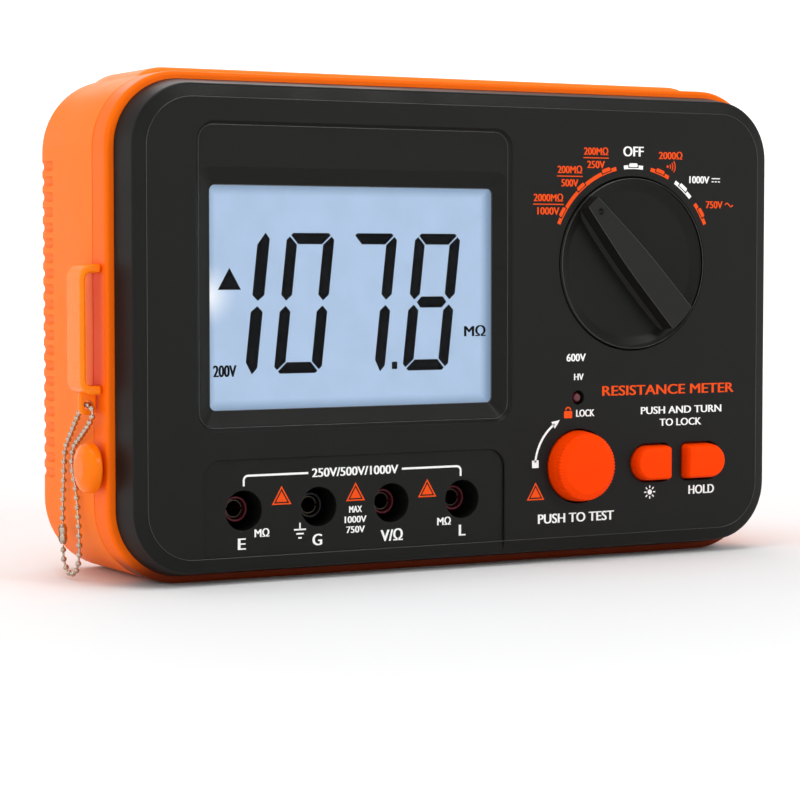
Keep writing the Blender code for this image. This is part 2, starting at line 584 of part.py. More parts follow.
# ---- power -------------------------------------------------------------------------------
def make_battery_bay():
    width, height = BAY
    tray = block("battery_tray", (-width / 2, width / 2), (34.0 * MM, 52.9 * MM),
                 (BAY_Z - height / 2, BAY_Z + height / 2), (BLACK, 0.55), radius=2 * MM)
    cut(tray, block("tray_hollow", (-width / 2 + 1.5 * MM, width / 2 - 1.5 * MM),
                    (35.6 * MM, 60 * MM), (BAY_Z - 23.4 * MM, BAY_Z + 23.4 * MM),
                    radius=1.5 * MM))
    profile = ((0, 25.1), (2.6, 25.1), (2.6, 24.0), (6.9, 24.0), (7.1, 23.6), (7.1, -24.8),
               (6.8, -25.1), (0, -25.1))
    for column, side in ((1, -1), (2, 1)):
        for row in range(3):
            z = BAY_Z + (row - 1) * ROW_PITCH
            facing = "left" if (row + column) % 2 else "right"
            place = at(side * (CELL_LENGTH / 2 + 0.8 * MM), CELL_DEPTH, z)
            turned(f"battery_cell_{column}{row + 1}", [(r * MM, h * MM) for r, h in profile],
                   place, ((0.55, 0.4, 0.16), 0.3, 0.6), steps=14, facing=facing)
    for name, side in (("left", -1), ("right", 1)):
        inner, outer = sorted((side * 52.6 * MM, side * 53.4 * MM))
        block(f"battery_contact_{name}", (inner, outer), (38 * MM, 49 * MM),
              (BAY_Z - 21 * MM, BAY_Z + 21 * MM), (STEEL, 0.3, 1.0))


def make_battery_cover():
    """Door flush with the back, held by one screw at its end."""
    back = CASE_DEPTH
    door = block("battery_cover", (DOOR_LEFT, DOOR_RIGHT), (back - 1.4 * MM, back),
                 (BAY_Z - DOOR_HEIGHT / 2, BAY_Z + DOOR_HEIGHT / 2), (ORANGE, 0.45),
                 radius=2.2 * MM)
    join(door, block("door_rib", (-54.5 * MM, 54.5 * MM), (back - 3.2 * MM, back - 1 * MM),
                     (BAY_Z - 22.5 * MM, BAY_Z + 22.5 * MM), radius=1.6 * MM))
    cut(door, block("door_hollow", (-52.5 * MM, 52.5 * MM), (back - 5 * MM, back - 1.4 * MM),
                    (BAY_Z - 20.5 * MM, BAY_Z + 20.5 * MM)))
    cut(door, turned("door_countersink", ((0, 1 * MM), (3.9 * MM, 1 * MM), (2.9 * MM, 0),
                                          (1.7 * MM, -1.2 * MM), (1.7 * MM, -4 * MM),
                                          (0, -4 * MM)),
                     at(DOOR_SCREW_X, back, BAY_Z), steps=14, facing="back"))
    profile = ((0, -1.0), (0.7, -1.0), (0.9, -0.3), (2.3, -0.3), (1.25, -1.45), (1.25, -9.0),
               (0, -9.0))
    turned("battery_cover_screw", [(r * MM, h * MM) for r, h in profile],
           at(DOOR_SCREW_X, back, BAY_Z), (STEEL, 0.3, 1.0), steps=12, facing="back")


# ---- stand -------------------------------------------------------------------------------
def make_stand():
    """Folding stand, hinged near the top of the back on two pins."""
    half, thickness = STAND_WIDTH / 2, STAND_THICKNESS
    hinge = at(0, STAND_DEPTH, STAND_TOP)
    stand = block("tilt_stand", (-half, half), (STAND_DEPTH - thickness / 2,
                                                STAND_DEPTH + thickness / 2),
                  (STAND_BOTTOM, STAND_TOP), (ORANGE, 0.45), origin=hinge)
    join(stand, rods("stand_barrel", [(STAND_DEPTH, STAND_TOP)], thickness / 2,
                     (-half, half), sides=16, along="X"))
    for name, side in (("left", -1), ("right", 1)):
        bore = sorted((side * (half - 6 * MM), side * (half + 1 * MM)))
        cut(stand, rods(f"stand_bore_{name}", [(STAND_DEPTH, STAND_TOP)], 1.2 * MM, bore,
                        sides=10, along="X"))
        pin = sorted((side * (half - 5.6 * MM), side * (half + 4.2 * MM)))
        rods(f"stand_pin_{name}", [(STAND_DEPTH, STAND_TOP)], 0.9 * MM, pin,
             (STEEL, 0.3, 1.0), sides=10, along="X")


# ---- ball chain --------------------------------------------------------------------------
def chain_route():
    """Route of the chain: up from the clasp, through the lug, and back."""
    end = CLASP_LENGTH / 2 + GAP
    loop = ((1.3, 36.6, 27.0), (1.3, 35.4, 34.0), (1.7, 30.0, 39.0), (2.4, 22.4, 44.6),
            (2.7, 18.6, 46.8), (2.7, 16.5, 46.9), (2.7, 14.0, 46.6), (2.6, 13.0, 44.6),
            (2.3, 16.6, 41.6), (1.7, 23.4, 38.2), (1.3, 29.8, 34.6), (1.3, 30.6, 29.5),
            (1.3, 28.0, 23.5), (1.3, 26.2, 13.0), (1.3, 26.4, 6.0), (1.3, 29.0, 2.2),
            (1.4, 33.4, 1.7), (1.5, 36.5, 4.6))      # rise off the case's side, depth and z, mm
    points = [(CLASP_RISE, CLASP_DEPTH, CLASP_Z + end), (CLASP_RISE, CLASP_DEPTH, CLASP_Z + 7 * MM)]
    points += [(rise * MM, depth * MM, z * MM) for rise, depth, z in loop]
    points += [(CLASP_RISE, CLASP_DEPTH, CLASP_Z - end)]
    return [at(-CASE_SIDE - rise, depth, z) for rise, depth, z in points]


def smooth_through(points, spacing):
    """Evenly spaced points on a smooth curve through the given points."""
    dense = []
    padded = [points[0] * 2 - points[1], *points, points[-1] * 2 - points[-2]]
    for before, start, end, after in zip(padded, padded[1:], padded[2:], padded[3:]):
        lead, trail = (end - before) / 6, (after - start) / 6
        dense += interpolate_bezier(start, start + lead, end - trail, end, 12)[:-1]
    dense.append(points[-1])
    total = sum((b - a).length for a, b in zip(dense, dense[1:]))
    count = max(2, round(total / spacing))
    result, walked, target = [dense[0]], 0.0, total / count
    for start, end in zip(dense, dense[1:]):
        step = (end - start).length
        while walked + step >= target and len(result) < count:
            result.append(start.lerp(end, (target - walked) / step))
            target += total / count
        walked += step
    return [*result, dense[-1]]


def make_chain():
    """Plain tube along the chain, and the clasp that closes the loop."""
    route = smooth_through(chain_route(), 3.2 * MM)
    curve = bpy.data.curves.new("ball_chain", "CURVE")
    curve.dimensions = "3D"
    curve.bevel_depth = CHAIN_RADIUS
    curve.bevel_resolution = 2
    curve.use_fill_caps = True
    spline = curve.splines.new("POLY")
    spline.points.add(len(route) - 1)
    for point, place in zip(spline.points, route):
        point.co = (*place, 1.0)
    chain = bpy.data.objects.new("ball_chain", curve)
    parts.objects.link(chain)
    curve.materials.append(make_material("ball_chain", STEEL, 0.25, 1.0))

    clasp_at = at(-CASE_SIDE - CLASP_RISE, CLASP_DEPTH, CLASP_Z)
    bm = bmesh.new()
    bmesh.ops.create_cone(bm, cap_ends=True, segments=12, radius1=CLASP_RADIUS,
                          radius2=CLASP_RADIUS, depth=CLASP_LENGTH,
                          matrix=Matrix.Translation(clasp_at))
    finish_mesh("chain_clasp", bm, (STEEL, 0.25, 1.0), clasp_at)


clear_scene()
parts = new_collection("insulation_tester")
tools = new_collection("tester_cutters")
make_front_cover()
make_jack_panel()
make_front_frame()
make_rear_shell()
make_case_screws()
make_strap_loops()
make_strap_studs()
make_dial()
make_test_button()
make_keys()
make_led()
make_jacks()
make_display()
make_circuit()
make_battery_bay()
make_battery_cover()
make_stand()
make_chain()
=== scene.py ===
"""Looks of an insulation resistance tester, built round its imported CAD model.

Lengths are in metres in the CAD model's own frame: the face looks along -Y, and depth is
measured backwards from the face. Legends are thin plates of ink, and every finish is a
procedural material.
"""
import json
import math

import bmesh
import bpy
from mathutils import Matrix, Vector
from mathutils.geometry import interpolate_bezier


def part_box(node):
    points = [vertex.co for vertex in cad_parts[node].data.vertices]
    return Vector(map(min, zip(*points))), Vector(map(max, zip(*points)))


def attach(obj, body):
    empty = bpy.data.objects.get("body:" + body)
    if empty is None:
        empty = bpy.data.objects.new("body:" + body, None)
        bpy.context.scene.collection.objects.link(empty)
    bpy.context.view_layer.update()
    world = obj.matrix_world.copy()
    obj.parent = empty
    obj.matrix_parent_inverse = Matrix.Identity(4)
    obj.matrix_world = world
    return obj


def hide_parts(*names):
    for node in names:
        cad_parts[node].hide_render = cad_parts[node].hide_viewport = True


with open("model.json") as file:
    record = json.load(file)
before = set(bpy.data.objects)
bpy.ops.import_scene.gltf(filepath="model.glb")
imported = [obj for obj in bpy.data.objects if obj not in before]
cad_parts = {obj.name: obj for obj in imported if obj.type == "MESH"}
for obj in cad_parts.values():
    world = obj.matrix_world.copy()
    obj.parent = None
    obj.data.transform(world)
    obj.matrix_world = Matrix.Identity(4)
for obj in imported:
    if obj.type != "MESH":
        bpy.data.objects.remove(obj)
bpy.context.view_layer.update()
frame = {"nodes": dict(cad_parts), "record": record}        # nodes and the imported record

MM = 0.001


def middle(node):
    """Middle of a CAD node's box."""
    low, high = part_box(node)
    return (low + high) / 2


def ranges(low, high):
    """A box as its ranges of x, depth and z."""
    return (low.x, high.x), (low.y - FACE_Y, high.y - FACE_Y), (low.z, high.z)


# ---- places and sizes from the frame ----
frame_low, frame_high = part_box("front_frame")
FACE_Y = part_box("front_cover")[0].y
CASE_WIDTH = frame_high.x - frame_low.x
CASE_HEIGHT = frame_high.z - frame_low.z
CASE_SIDE = CASE_WIDTH / 2
CASE_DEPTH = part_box("rear_shell")[1].y - FACE_Y
CENTRE_Z = CASE_HEIGHT / 2
LIP_DEPTH = frame_low.y - FACE_Y
SEAM_FRONT = frame_high.y - FACE_Y
SEAM_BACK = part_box("rear_shell")[0].y - FACE_Y
PAD_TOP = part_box("rear_shell")[1].z
DIAL = middle("range_dial")
TEST = middle("test_button")
LED = middle("hv_led")
KEY_SIDES = {"backlight_button": 1, "hold_button": -1}      # side of each key's flat end
WINDOW = middle("display_window")
JACK_NAMES = ("earth", "guard", "volt", "line")
JACKS = {name: middle(f"jack_body_{name}") for name in JACK_NAMES}
DOOR_LOW, DOOR_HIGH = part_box("battery_cover")
DOOR_SCREW = middle("battery_cover_screw")
CASE_SCREWS = [(f"case_screw_{i}", middle(f"case_screw_{i}")) for i in range(1, 5)]
STAND_LOW, STAND_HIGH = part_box("tilt_stand")
PIN = middle("stand_pin_left")
STUDS = {side: middle(f"strap_stud_{side}") for side in ("left", "right")}

# ---- sizes that the design shares with the frame ----
CASE_RADIUS = 20.0 * MM
FACE_INSET = 3.75 * MM
BORDER = 3.3 * MM
COVER_SKIN = 3.4 * MM
WINDOW_RECESS = (94.2 * MM, 79.6 * MM, 5.0 * MM)
WINDOW_RECESS_Z = WINDOW.z + 5.5 * MM
LCD_VIEW = (84.8 * MM, 58.4 * MM, 1.6 * MM)
JACK_FLANGE = 1.5 * MM
panel_low, panel_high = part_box("jack_panel")
JACK_RECESS = (panel_low.x + JACK_FLANGE, panel_high.x - JACK_FLANGE, panel_high.z - JACK_FLANGE)
JACK_RECESS_DEPTH = 0.8 * MM
JACK_RECESS_CORNER = 5.0 * MM
JACK_PANEL_LOW = FACE_INSET + BORDER
JACK_HOLE = 5.2 * MM
DIAL_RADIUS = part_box("range_dial")[1].x - DIAL.x
DIAL_REST_ANGLE = math.radians(43)
DIAL_BAR = ((23.2, 2.1), (16.0, 2.8), (0.0, 4.0), (-22.4, 4.4))     # along, half width, mm
DIAL_BAR_TOP = -3.9 * MM
TEST_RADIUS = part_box("test_button")[1].x - TEST.x
KEY_RISE = 3.2 * MM
KEY_FLANGE = 1.2 * MM
KEYS = []                        # name, middle, width, height and side of the flat end
for key_name, key_side in KEY_SIDES.items():
    key_low, key_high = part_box(key_name)
    key_size = key_high - key_low
    KEYS.append((key_name, (key_low + key_high) / 2, key_size.x - 2 * KEY_FLANGE,
                 key_size.z - 2 * KEY_FLANGE, key_side))
LUG = Vector((-CASE_SIDE - 2.7 * MM, FACE_Y + 16.5 * MM, 46.9 * MM))
GROOVE_COUNT = 21
GROOVE_PITCH = 4.11 * MM
GROOVE_LOW_Z = 27.0 * MM
GROOVE_DEPTH = 46.2 * MM
CHAIN_BEAD = 0.8 * MM

INK_DEPTHS = (-0.05 * MM, 0.04 * MM)    # front and back of the legends, from a surface

# ---- camera ----
CAMERA_YAW, CAMERA_PITCH = math.radians(-29.06), math.radians(-3.18)
CAMERA_AT = Vector((-347.6 * MM, FACE_Y - 585.0 * MM, 83.9 * MM))
CAMERA_LENS = 112.8


# ---- objects ----
def at(x, depth, z):
    """Point at a depth behind the face."""
    return Vector((x, FACE_Y + depth, z))


def link(name, mesh):
    obj = bpy.data.objects.new(name, mesh)
    bpy.context.scene.collection.objects.link(obj)
    return obj


def solid(name, bm):
    """Object from a bmesh, its faces turned outwards."""
    bmesh.ops.recalc_face_normals(bm, faces=bm.faces)
    mesh = bpy.data.meshes.new(name)
    bm.to_mesh(mesh)
    bm.free()
    return link(name, mesh)


def settle(obj):
    """Keep what an object's modifiers make of it as its mesh."""
    bpy.context.view_layer.update()
    graph = bpy.context.evaluated_depsgraph_get()
    mesh = bpy.data.meshes.new_from_object(obj.evaluated_get(graph))
    obj.modifiers.clear()
    obj.data = mesh
    return obj


def combine(obj, operation, *tools):
    """Boolean of an object with tool objects, which are used up."""
    for tool in tools:
        step = obj.modifiers.new("step", "BOOLEAN")
        step.operation, step.solver, step.object = operation, "EXACT", tool
    settle(obj)
    for tool in tools:
        bpy.data.objects.remove(tool)
    return obj


def cut(obj, *tools):
    return combine(obj, "DIFFERENCE", *tools)


def join(obj, *tools):
    return combine(obj, "UNION", *tools)


def bevel(obj, width, segments=3, angle=40):
    step = obj.modifiers.new("bevel", "BEVEL")
    step.width, step.segments = width, segments
    step.limit_method, step.angle_limit = "ANGLE", math.radians(angle)
    return settle(obj)


def finish(obj, slot, body="case", replaced=(), finish_name=None, crease=38):
    """Shade a piece, give it its material, and let it ride on its body."""
    obj.data.materials.clear()
    obj.data.materials.append(FINISHES[finish_name or slot])
    obj.data.shade_smooth()
    obj.data.set_sharp_from_angle(angle=math.radians(crease))
    shading = obj.modifiers.new("shading", "WEIGHTED_NORMAL")
    shading.keep_sharp = True
    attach(obj, body)
    if replaced:
        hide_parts(*replaced)
    return obj


# ---- outlines and profiles ----
def arc(centre_x, centre_z, radius, start, end, steps):
    """Points along an arc in the X-Z plane, angles in degrees anticlockwise from +X."""
    angles = [math.radians(start + (end - start) * i / steps) for i in range(steps + 1)]
    return [(centre_x + radius * math.cos(a), centre_z + radius * math.sin(a)) for a in angles]


def circle(centre, radius, steps=48):
    return arc(centre.x, centre.z, radius, 0, 360, steps)[:-1]


def rounded(width, height, radius, centre=(0.0, CENTRE_Z), steps=10):
    """Outline of a rounded rectangle."""
    dx, dz = width / 2 - radius, height / 2 - radius
    outline = []
    for x, z, start in ((dx, dz, 0), (-dx, dz, 90), (-dx, -dz, 180), (dx, -dz, 270)):
        outline += arc(centre[0] + x, centre[1] + z, radius, start, start + 90, steps)
    return outline


def grower(width, height, radius, centre):
    """Function that gives a rounded rectangle's outline, grown all round by its argument."""
    return lambda growth: rounded(width + 2 * growth, height + 2 * growth, radius + growth, centre)


def grower_between(x_range, z_range, radius):
    centre = (sum(x_range) / 2, sum(z_range) / 2)
    return grower(x_range[1] - x_range[0], z_range[1] - z_range[0], radius, centre)


def inset_case(inset):
    """Outline of the case, drawn in by an inset all round."""
    return rounded(CASE_WIDTH - 2 * inset, CASE_HEIGHT - 2 * inset, CASE_RADIUS - inset, steps=18)


def soften(corners, steps=5, closed=False):
    """Profile through corners (a, b, radius), each one rounded to its radius; lengths in mm."""
    result = []
    for i, (a, b, radius) in enumerate(corners):
        here = Vector((a, b))
        if radius == 0 or (not closed and i in (0, len(corners) - 1)):
            result.append((a * MM, b * MM))
            continue
        before = Vector(corners[i - 1][:2]) - here
        after = Vector(corners[(i + 1) % len(corners)][:2]) - here
        reach = radius / math.tan(before.angle(after) / 2)
        start = here + before.normalized() * min(reach, 0.49 * before.length)
        end = here + after.normalized() * min(reach, 0.49 * after.length)
        for step in range(steps + 1):
            t = step / steps
            point = start * (1 - t) ** 2 + here * 2 * t * (1 - t) + end * t ** 2
            result.append((point.x * MM, point.y * MM))
    return result


def rim(radius, steps=5):
    """Rounding where a hole's wall meets the face, as (growth, depth)."""
    turns = [math.pi / 2 * i / steps for i in range(steps + 1)]
    return [(radius * (1 - math.sin(a)), radius * (1 - math.cos(a))) for a in turns]


# ---- solids ----
def skin_rings(bm, rings, closed=False):
    """Quads between rings of vertices."""
    pairs = list(zip(rings, rings[1:])) + ([(rings[-1], rings[0])] if closed else [])
    for front, back in pairs:
        for i in range(len(front)):
            j = (i + 1) % len(front)
            bm.faces.new((front[i], front[j], back[j], back[i]))


def loft(name, sections, closed=False):
    """Solid through outlines with equal point counts, each section as (depth, outline)."""
    bm = bmesh.new()
    rings = [[bm.verts.new(at(x, depth, z)) for x, z in outline] for depth, outline in sections]
    skin_rings(bm, rings, closed)
    if not closed:
        bm.faces.new(rings[0])
        bm.faces.new(rings[-1])
    return solid(name, bm)


def block(name, x_range, depth_range, z_range, radius=0.0, steps=6):
    """Box, its edges along Y rounded."""
    size = (x_range[1] - x_range[0], z_range[1] - z_range[0])
    centre = (sum(x_range) / 2, sum(z_range) / 2)
    corner_steps = steps if radius else 1
    outline = rounded(*size, max(radius, 0.001 * MM), centre, corner_steps)
    return loft(name, [(depth, outline) for depth in depth_range])


def well(name, outline_at, profile, bottom):
    """Cutter for a hole: outline_at(growth) down a profile of (growth, depth) to a bottom."""
    top = profile[0][0]
    steps = [(top, -2 * MM), *profile, (profile[-1][0], bottom)]
    return loft(name, [(depth, outline_at(growth)) for growth, depth in steps])


def round_well(name, centre, radius, bottom, edge=0.3 * MM, steps=48):
    return well(name, lambda growth: circle(centre, radius + growth, steps), rim(edge), bottom)


QUARTER = math.pi / 2
TURNS = {facing: Matrix.Rotation(turn, 4, axis) for facing, turn, axis in (
    ("front", QUARTER, "X"), ("back", -QUARTER, "X"), ("left", -QUARTER, "Y"),
    ("right", QUARTER, "Y"), ("up", 0.0, "Z"))}


def lathe(name, profile, place, facing="front", steps=64, closed=False, ripple=None):
    """Turned solid: profile is (radius, height), the height measured out of the surface.

    A ripple(angle, height) is added to the radius.
    """
    bm = bmesh.new()
    rings, tips = [], []
    for radius, height in profile:
        if radius < 0.001 * MM:
            tips.append(bm.verts.new((0, 0, height)))
            continue
        ring = []
        for i in range(steps):
            angle = math.tau * i / steps
            reach = radius + (ripple(angle, height) if ripple else 0.0)
            ring.append(bm.verts.new((reach * math.cos(angle), reach * math.sin(angle), height)))
        rings.append(ring)
    skin_rings(bm, rings, closed)
    for tip, ring in zip(tips, (rings[0], rings[-1])):
        for i in range(steps):
            bm.faces.new((tip, ring[i], ring[(i + 1) % steps]))
    bmesh.ops.transform(bm, matrix=Matrix.Translation(place) @ TURNS[facing], verts=bm.verts)
    return solid(name, bm)


def face_point(place, depth=0.0):
    """A node's place, moved to a depth behind the face."""
    return at(place.x, depth, place.z)


# ---- shader nodes ----
class Nodes:
    """A node tree and its coordinates. Inputs are plain values, or sockets to link from."""

    def __init__(self, tree, coordinates="Object"):
        self.tree = tree
        self.place = self.add("TexCoord").outputs[coordinates]

    def feed(self, socket, value):
        if isinstance(value, bpy.types.NodeSocket):
            self.tree.links.new(value, socket)
        else:
            socket.default_value = value

    def add(self, kind, inputs=None, **settings):
        node = self.tree.nodes.new("ShaderNode" + kind)
        for key, value in settings.items():
            setattr(node, key, value)
        for key, value in (inputs or {}).items():
            self.feed(node.inputs[key], value)
        return node

    def noise(self, size, detail=3.0, roughness=0.55, place=None):
        """Noise whose features are about as big as a size in metres."""
        place = self.place if place is None else place
        inputs = {"Vector": place, "Scale": 1 / size, "Detail": detail, "Roughness": roughness}
        return self.add("TexNoise", inputs).outputs["Fac"]

    def spread(self, value, low=0.0, high=1.0, start=0.3, end=0.7, **settings):
        """Map a value from start..end to low..high."""
        inputs = {"Value": value, "From Min": start, "From Max": end, "To Min": low,
                  "To Max": high}
        return self.add("MapRange", inputs, **settings).outputs["Result"]

    def blend(self, factor, first, second):
        """Mix two colours, each a tuple or a socket."""
        node = self.add("Mix", {"Factor": factor}, data_type="RGBA")
        for name, value in (("A", first), ("B", second)):
            socket = next(s for s in node.inputs if s.name == name and s.type == "RGBA")
            self.feed(socket, value if isinstance(value, bpy.types.NodeSocket) else (*value, 1.0))
        return next(s for s in node.outputs if s.type == "RGBA")

    def math(self, operation, first, second=0.0):
        return self.add("Math", {0: first, 1: second}, operation=operation).outputs[0]

    def measure(self, operation, vector):
        """DISTANCE to a point, or DOT_PRODUCT with a direction."""
        inputs = {0: self.place, 1: vector}
        return self.add("VectorMath", inputs, operation=operation).outputs["Value"]

    def along(self, axis):
        return self.add("SeparateXYZ", {"Vector": self.place}).outputs[axis]


class Surface(Nodes):
    """A material with a Principled shader."""

    def __init__(self, name, **inputs):
        self.material = bpy.data.materials.new(name)
        self.material.use_nodes = True
        super().__init__(self.material.node_tree)
        self.set(**inputs)

    def set(self, **inputs):
        """Set or link the shader's inputs, named in small letters, and give the material."""
        shader = self.tree.nodes["Principled BSDF"]
        for key, value in inputs.items():
            self.feed(shader.inputs[key.replace("_", " ").title().replace("Ior", "IOR")], value)
        return self.material

    def bump(self, height, strength, distance):
        inputs = {"Height": height, "Strength": strength, "Distance": distance}
        self.set(normal=self.add("Bump", inputs).outputs["Normal"])


def shade(color, factor):
    return tuple(min(1.0, c * factor) for c in color)


FOOT_SHADE_HEIGHTS = (2.2 * MM, 9.0 * MM)                # heights between which the painted shade on a foot fades


def moulded(name, color, roughness, grain=0.45, relief=0.02, drift=0.08, foot=None, **inputs):
    """Moulded plastic: spark texture, faint flow marks, and painted shade darkening its foot if a foot
    colour is given.
    """
    surface = Surface(name, **inputs)
    fine = surface.noise(grain * MM, 2.0, 0.5)
    flow = surface.spread(surface.noise(45 * MM, 2.0))
    tone = surface.blend(flow, shade(color, 1 - drift), shade(color, 1 + drift))
    tone = surface.blend(surface.spread(fine), tone, shade(color, 1 + 2.2 * drift))
    # Painted shade: towards the bottom the colour darkens into the foot colour.
    if foot:
        foot_shade = surface.spread(surface.along("Z"), 0, 1, *FOOT_SHADE_HEIGHTS,
                               interpolation_type="SMOOTHSTEP")
        tone = surface.blend(foot_shade, foot, tone)
    surface.bump(fine, 0.5, relief * MM)
    smudge = surface.noise(12 * MM, 4.0, 0.6)
    return surface.set(base_color=tone,
                       roughness=surface.spread(smudge, roughness - 0.05, roughness + 0.06))


def metal(name, color, roughness, scratch=0.3):
    """Plated metal: fine scratches and slightly cloudy plating."""
    surface = Surface(name, metallic=1.0)
    stretched = surface.add("Mapping", {"Vector": surface.place, "Scale": (1.0, 1.0, 6.0)})
    lines = surface.noise(scratch * MM, place=stretched.outputs["Vector"])
    surface.bump(lines, 0.3, 0.01 * MM)
    cloud = surface.spread(surface.noise(4 * MM))
    return surface.set(base_color=surface.blend(cloud, shade(color, 0.85), color),
                       roughness=surface.spread(lines, roughness - 0.06, roughness + 0.1))


def printed(name, color, roughness=0.42):
    """Screen printed ink: a mesh weave in its surface and slightly uneven cover."""
    surface = Surface(name, specular_ior_level=0.08)
    weave = surface.add("TexVoronoi", {"Vector": surface.place, "Scale": 1 / (0.12 * MM)})
    surface.bump(weave.outputs["Distance"], 0.25, 0.006 * MM)
    cover = surface.noise(1.1 * MM, 4.0)
    return surface.set(base_color=surface.blend(surface.spread(cover), shade(color, 0.9), color),
                       roughness=surface.spread(cover, roughness, roughness + 0.12))


def lit_display(name):
    """Backlit display: even pale blue, with painted shade along its edges and a painted white glare at the
    left.
    """
    surface = Surface(name, roughness=0.35, specular_ior_level=0.2, emission_strength=0.88)
    lit, edge = (0.44, 0.575, 0.76), (0.20, 0.29, 0.42)
    insides = []
    for axis, centre, size in (("X", WINDOW.x, LCD_VIEW[0]), ("Z", WINDOW.z, LCD_VIEW[1])):
        offset = surface.math("ABSOLUTE", surface.math("SUBTRACT", surface.along(axis), centre))
        insides.append(surface.math("SUBTRACT", size / 2, offset))
    inside = surface.spread(surface.math("MINIMUM", *insides), 0, 1, -0.5 * MM, 2.6 * MM)
    wobble = surface.spread(surface.noise(9 * MM, 2.0))
    cloudy = surface.blend(wobble, shade(lit, 0.96), shade(lit, 1.03))
    # Painted glare: the emission turns white near this point at the display's left end.
    lamp = (WINDOW.x - LCD_VIEW[0] / 2, WINDOW.y, WINDOW.z + 0.6 * MM)
    nearness = surface.spread(surface.measure("DISTANCE", lamp), 0.0, 1.0, 9 * MM, 1 * MM)
    painted_glare = surface.math("POWER", nearness, 1.6)
    # Painted shade: the colour falls to the dull edge colour along the display's edges.
    even = surface.blend(inside, edge, cloudy)
    return surface.set(base_color=surface.blend(painted_glare, shade(edge, 0.25), shade(lit, 0.25)),
                       emission_color=surface.blend(painted_glare, even, (1.0, 1.0, 1.0)))


def clear_window(name):
    """Clear polished pane with faint wipe marks."""
    surface = Surface(name, base_color=(0.97, 0.98, 1.0, 1.0), transmission_weight=1.0, ior=1.06)
    return surface.set(roughness=surface.spread(surface.noise(15 * MM), 0.0, 0.03))


def striped(name, first, second, width):
    """Layered material with stripes across X, such as an elastomer connector."""
    surface = Surface(name, roughness=0.75)
    inputs = {"Vector": surface.place, "Scale": 0.3 / width, "Distortion": 0.4}
    wave = surface.add("TexWave", inputs, bands_direction="X")
    return surface.set(base_color=surface.blend(wave.outputs["Fac"], first, second))


def circuit_board(name):
    """Green solder mask over copper tracks."""
    surface = Surface(name, roughness=0.35)
    cells = surface.add("TexVoronoi", {"Vector": surface.place, "Scale": 220.0},
                        distance="MANHATTAN", feature="DISTANCE_TO_EDGE")
    tracks = surface.spread(cells.outputs["Distance"], 1.0, 0.0, 0.02, 0.08)
    surface.bump(tracks, 0.4, 0.03 * MM)
    return surface.set(base_color=surface.blend(tracks, (0.012, 0.13, 0.05), (0.05, 0.27, 0.1)))


ORANGE, BUTTON_ORANGE = (0.98, 0.185, 0.008), (0.95, 0.05, 0.0002)
BLACK = (0.0064, 0.0064, 0.0057)
GLOSSY_PLASTICS = (         # color, roughness, grain and relief in mm, drift, specular level
    ("case_orange", ORANGE, 0.42, 0.45, 0.012, 0.03, 0.08),
    # The loop's orange is yellower than the case's, a painted highlight; its lower roughness and higher
    # specular level are real.
    ("loop_orange", (1.0, 0.215, 0.002), 0.26, 0.45, 0.006, 0.03, 0.16),
    ("stud_orange", (1.0, 0.18, 0.001), 0.24, 0.45, 0.004, 0.03, 0.12),
    ("trim_orange", BUTTON_ORANGE, 0.3, 0.3, 0.006, 0.04, 0.035),
    ("cover_black", BLACK, 0.4, 0.4, 0.022, 0.08, 0.145),
    # The edges' black is lighter than the cover's, a painted highlight along the fine edges; their gloss
    # is real.
    ("edge_black", (0.014, 0.014, 0.0135), 0.2, 0.4, 0.004, 0.08, 0.8),
    # The pointer bar's black is lighter than the dial's: painted light on its lit top. Its roughness and
    # specular level are real.
    ("bar_black", shade(BLACK, 1.5), 0.42, 0.25, 0.008, 0.08, 0.17),
    ("dial_black", BLACK, 0.34, 0.25, 0.008, 0.08, 0.12),
    ("jack_red", (0.085, 0.004, 0.012), 0.32, 0.3, 0.006, 0.08, 0.3),
    ("jack_black", (0.007, 0.007, 0.007), 0.38, 0.3, 0.006, 0.08, 0.3),
)
PLAIN_PLASTICS = (          # color and roughness
    ("diffuser_white", (0.8, 0.85, 0.9), 0.4), ("switch_black", (0.03, 0.03, 0.03), 0.5),
    ("pad_rubber", (0.72, 0.72, 0.7), 0.7), ("plunger_white", (0.68, 0.68, 0.65), 0.5),
    ("transformer_core", (0.1, 0.08, 0.06), 0.6), ("capacitor_blue", (0.03, 0.05, 0.14), 0.35),
    ("relay_blue", (0.04, 0.1, 0.28), 0.45), ("tray_black", (0.03, 0.03, 0.03), 0.55),
)
METALS = (                  # color, roughness and size of the scratches in mm
    # contact_brass is darkened far below brass: painted shade of the deep jack holes the contacts sit in.
    ("contact_brass", (0.05, 0.04, 0.03), 0.3, 0.3), ("cell_wrap", (0.5, 0.36, 0.14), 0.35, 0.3),
    ("steel", (0.6, 0.6, 0.6), 0.3, 0.3), ("chain_silver", (0.56, 0.47, 0.38), 0.13, 0.2),
)
INKS = (                    # color and roughness
    ("ink_white", (0.96, 0.96, 0.95), 0.42), ("ink_orange", (0.9, 0.085, 0.008), 0.42),
    ("ink_display", (0.004, 0.004, 0.005), 0.6),
)
FINISHES = {row[0]: moulded(*row, specular_ior_level=level) for *row, level in GLOSSY_PLASTICS}
for maker, rows in ((moulded, PLAIN_PLASTICS), (metal, METALS), (printed, INKS)):
    FINISHES |= {row[0]: maker(*row) for row in rows}
